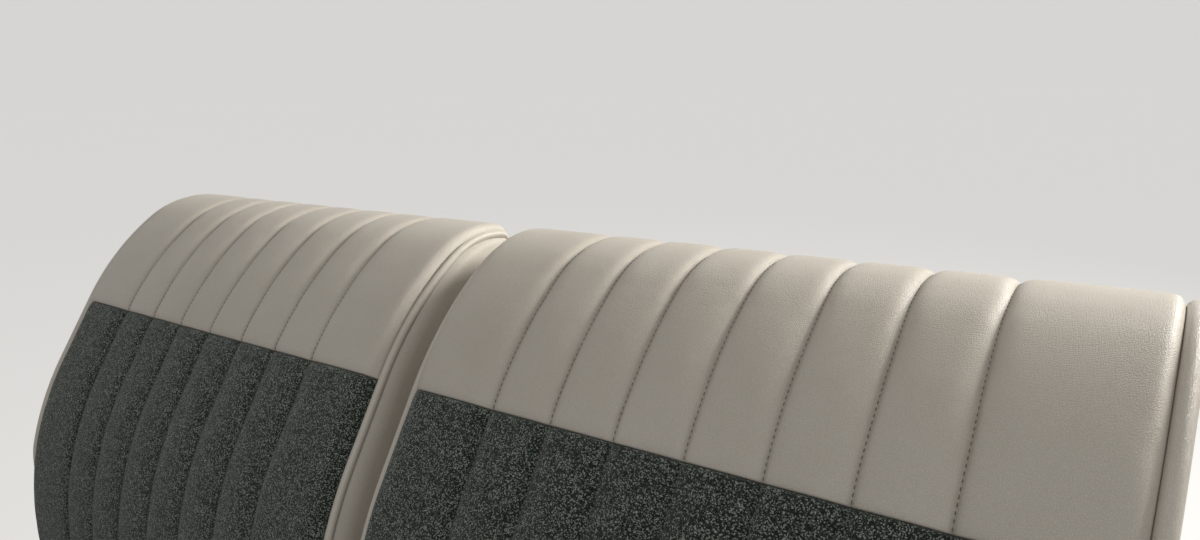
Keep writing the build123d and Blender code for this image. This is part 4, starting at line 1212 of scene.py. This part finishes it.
def edge_piping(outer):
    """Path and girth along a front edge, from the foot over the crown to the top rear corner."""
    points, girths = [], []
    border, way = (BACK_WIDTH - WELT_WIDTH * MM, 1) if outer else (WELT_WIDTH * MM, -1)
    for length in np.linspace(0.004, FACE_LENGTH, 96):
        z = face_line.at(length)[0][2]
        swollen = above_arms(z) if outer else 0.0
        girths.append(PIPING_RADIUS + (ROLL_RADIUS - PIPING_RADIUS) * swollen)
        fall = PIPING_FALL + (ROLL_FALL - PIPING_FALL) * swollen
        x = across_x(border, z) + way * WELT_TOUCH * girths[-1]
        points.append(face_line.at(length, fall)[0] + np.array((x, 0, 0)))
    return points, girths


def rear_piping():
    points = []
    for u in COLUMNS:
        pleat = pleat_fall(u, stitch_depth(FACE_LENGTH), EDGE_FALL, EDGE_ROUND)
        point, _ = face_line.at(FACE_LENGTH, min(PIPING_FALL, pleat - 0.4 * MM))
        points.append(point + np.array((across_x(u, point[2]), 0, 0)))
    return points, [PIPING_RADIUS] * len(points)


def insert_piping():
    """Round three sides of an insert: along the rib, behind the front roll, back along the outer edge."""
    inner_x = insert_grid[0, 0, 0] - INSERT_PIPING * WELT_TOUCH
    outer_x = insert_grid[0, -1, 0] + INSERT_PIPING * WELT_TOUCH
    front_y, front_z = INSERT_FRONT - FRONT_PIPING_OUT, INSERT_Z_FRONT - FRONT_PIPING_DROP
    sides, corners = {}, {}
    for x, way in ((inner_x, 1), (outer_x, -1)):
        line = [insert_line(share) for share in np.linspace(0.97, 0.04, 40)]
        sides[way] = [(x, y, z - INSERT_PIPING_DROP) for y, z in line]
        corners[way] = [(x + way * INSERT_CORNER * (1 - cos(turn)), front_y + INSERT_CORNER * (1 - sin(turn)),
                         front_z - INSERT_CORNER_DROP * cos(turn) ** 2) for turn in np.linspace(0, pi / 2, 7)]
    front = [(x, front_y, front_z) for x in np.linspace(inner_x + INSERT_CORNER, outer_x - INSERT_CORNER, 60)]
    points = sides[1] + corners[1] + front[1:-1] + corners[-1][::-1] + sides[-1][::-1]
    return points, [INSERT_PIPING] * len(points)


def cushion_end_piping():
    """Round the outline of an end panel: a little sunk in its seam, a little proud along the top."""
    section = rounded_outline(BOX_OUTLINE, 9 * MM)
    points = []
    for p, way in zip(section, inward_ways(section)):
        y, z = p + way * (END_PIPING_SUNK if p.y < END_PIPING_PROUD_Z else -END_PIPING_SUNK)
        points.append((END_PIPING_X, y, z))
    return points + points[:1], [END_PIPING] * (len(section) + 1)


def sewn_in(name, paths, side, body):
    """Piping along (points, girths) paths, on one side of the seat."""
    runs = [[(side * p[0], p[1], p[2]) for p in points] for points, _ in paths]
    source = path_piece("welt_path", runs, [girths for _, girths in paths])
    welt = grown(name, source, piping, Sides=WELT_SIDES, Finish=piping_vinyl)
    dress(welt, (None, "cream_vinyl"), body)


piping = piping_tree()
# The piping's vinyl is painted a little lighter than the cream vinyl of the cover: a painted highlight for
# the light its round edge catches.
piping_vinyl = vinyl_finish("piping_vinyl", (0.64, 0.592, 0.518, 1), CREAM, 0.26, 0.38)
for word, side in SIDES:
    back_paths = [edge_piping(True), edge_piping(False), rear_piping()]
    sewn_in("back_piping_" + word, back_paths, side, "back_" + word)
    sewn_in("cushion_piping_" + word, [insert_piping(), cushion_end_piping()], side, "bench")


# Stitching: dark lockstitch thread down every pleat line, pulled into the cover so that
# only short dashes show.
STITCH_PITCH = 5.0 * MM
STITCH_LENGTH = 3.0 * MM
STITCH_LIFT = 0.55 * MM
THREAD_RADIUS = 0.42 * MM


def stitch_tree():
    """Short dashes of thread along each path."""
    tree, given, end = node_tree("lockstitch", Pitch=float, Dash=float, Thread_Radius=float,
                                 Finish="material")
    path = add(tree, "GeometryNodeMeshToCurve", {"Mesh": given[0]})
    spaced = add(tree, "GeometryNodeResampleCurve", {"Curve": path, "Length": given["Pitch"]}, mode="LENGTH")
    bead = add(tree, "GeometryNodeMeshUVSphere", {"Segments": 6, "Rings": 5, "Radius": 1.0})
    shape = add(tree, "ShaderNodeCombineXYZ", {"X": given["Thread Radius"], "Y": given["Thread Radius"],
                                               "Z": maths(tree, "MULTIPLY", given["Dash"], 0.5)})
    dash = add(tree, "GeometryNodeTransform", {"Geometry": bead, "Scale": shape})
    tangent = add(tree, "GeometryNodeInputTangent")
    turn = add(tree, "FunctionNodeAlignRotationToVector", {"Vector": tangent}, axis="Z")
    copies = add(tree, "GeometryNodeInstanceOnPoints", {"Points": spaced, "Instance": dash, "Rotation": turn})
    return finished(tree, copies, given, end)


def thread_finish():
    """Grey-brown waxed thread, twisted."""
    made, tree = finish_of("stitch_thread", Roughness=0.7)
    dark, light = (0.095, 0.085, 0.072, 1), (0.21, 0.19, 0.16, 1)
    surface(tree, toned(tree, cloudy(tree, 1800), (0, dark), last=(1, light)))
    return made


def stitch_runs(grid, ways, side):
    """One run of points along every stitch line of a quilted grid, just proud of the valley."""
    proud = [on_side(grid[r] - ways[r] * STITCH_LIFT, side) for r in range(1, len(grid) - 1)]
    return [[row[c] for row in proud] for c in STITCH_COLUMNS]


lockstitch = stitch_tree()
thread = thread_finish()
for word, side in SIDES:
    for name, grid, ways, body in (("back_stitches_", face_grid, inward_of_row, "back_" + word),
                                   ("cushion_stitches_", insert_grid, [DOWN] * len(insert_grid), "bench")):
        dashes = grown(name + word, path_piece("stitch_path", stitch_runs(grid, ways, side)), lockstitch,
                       Pitch=STITCH_PITCH, Dash=STITCH_LENGTH, Thread_Radius=THREAD_RADIUS, Finish=thread)
        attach(dashes, body)
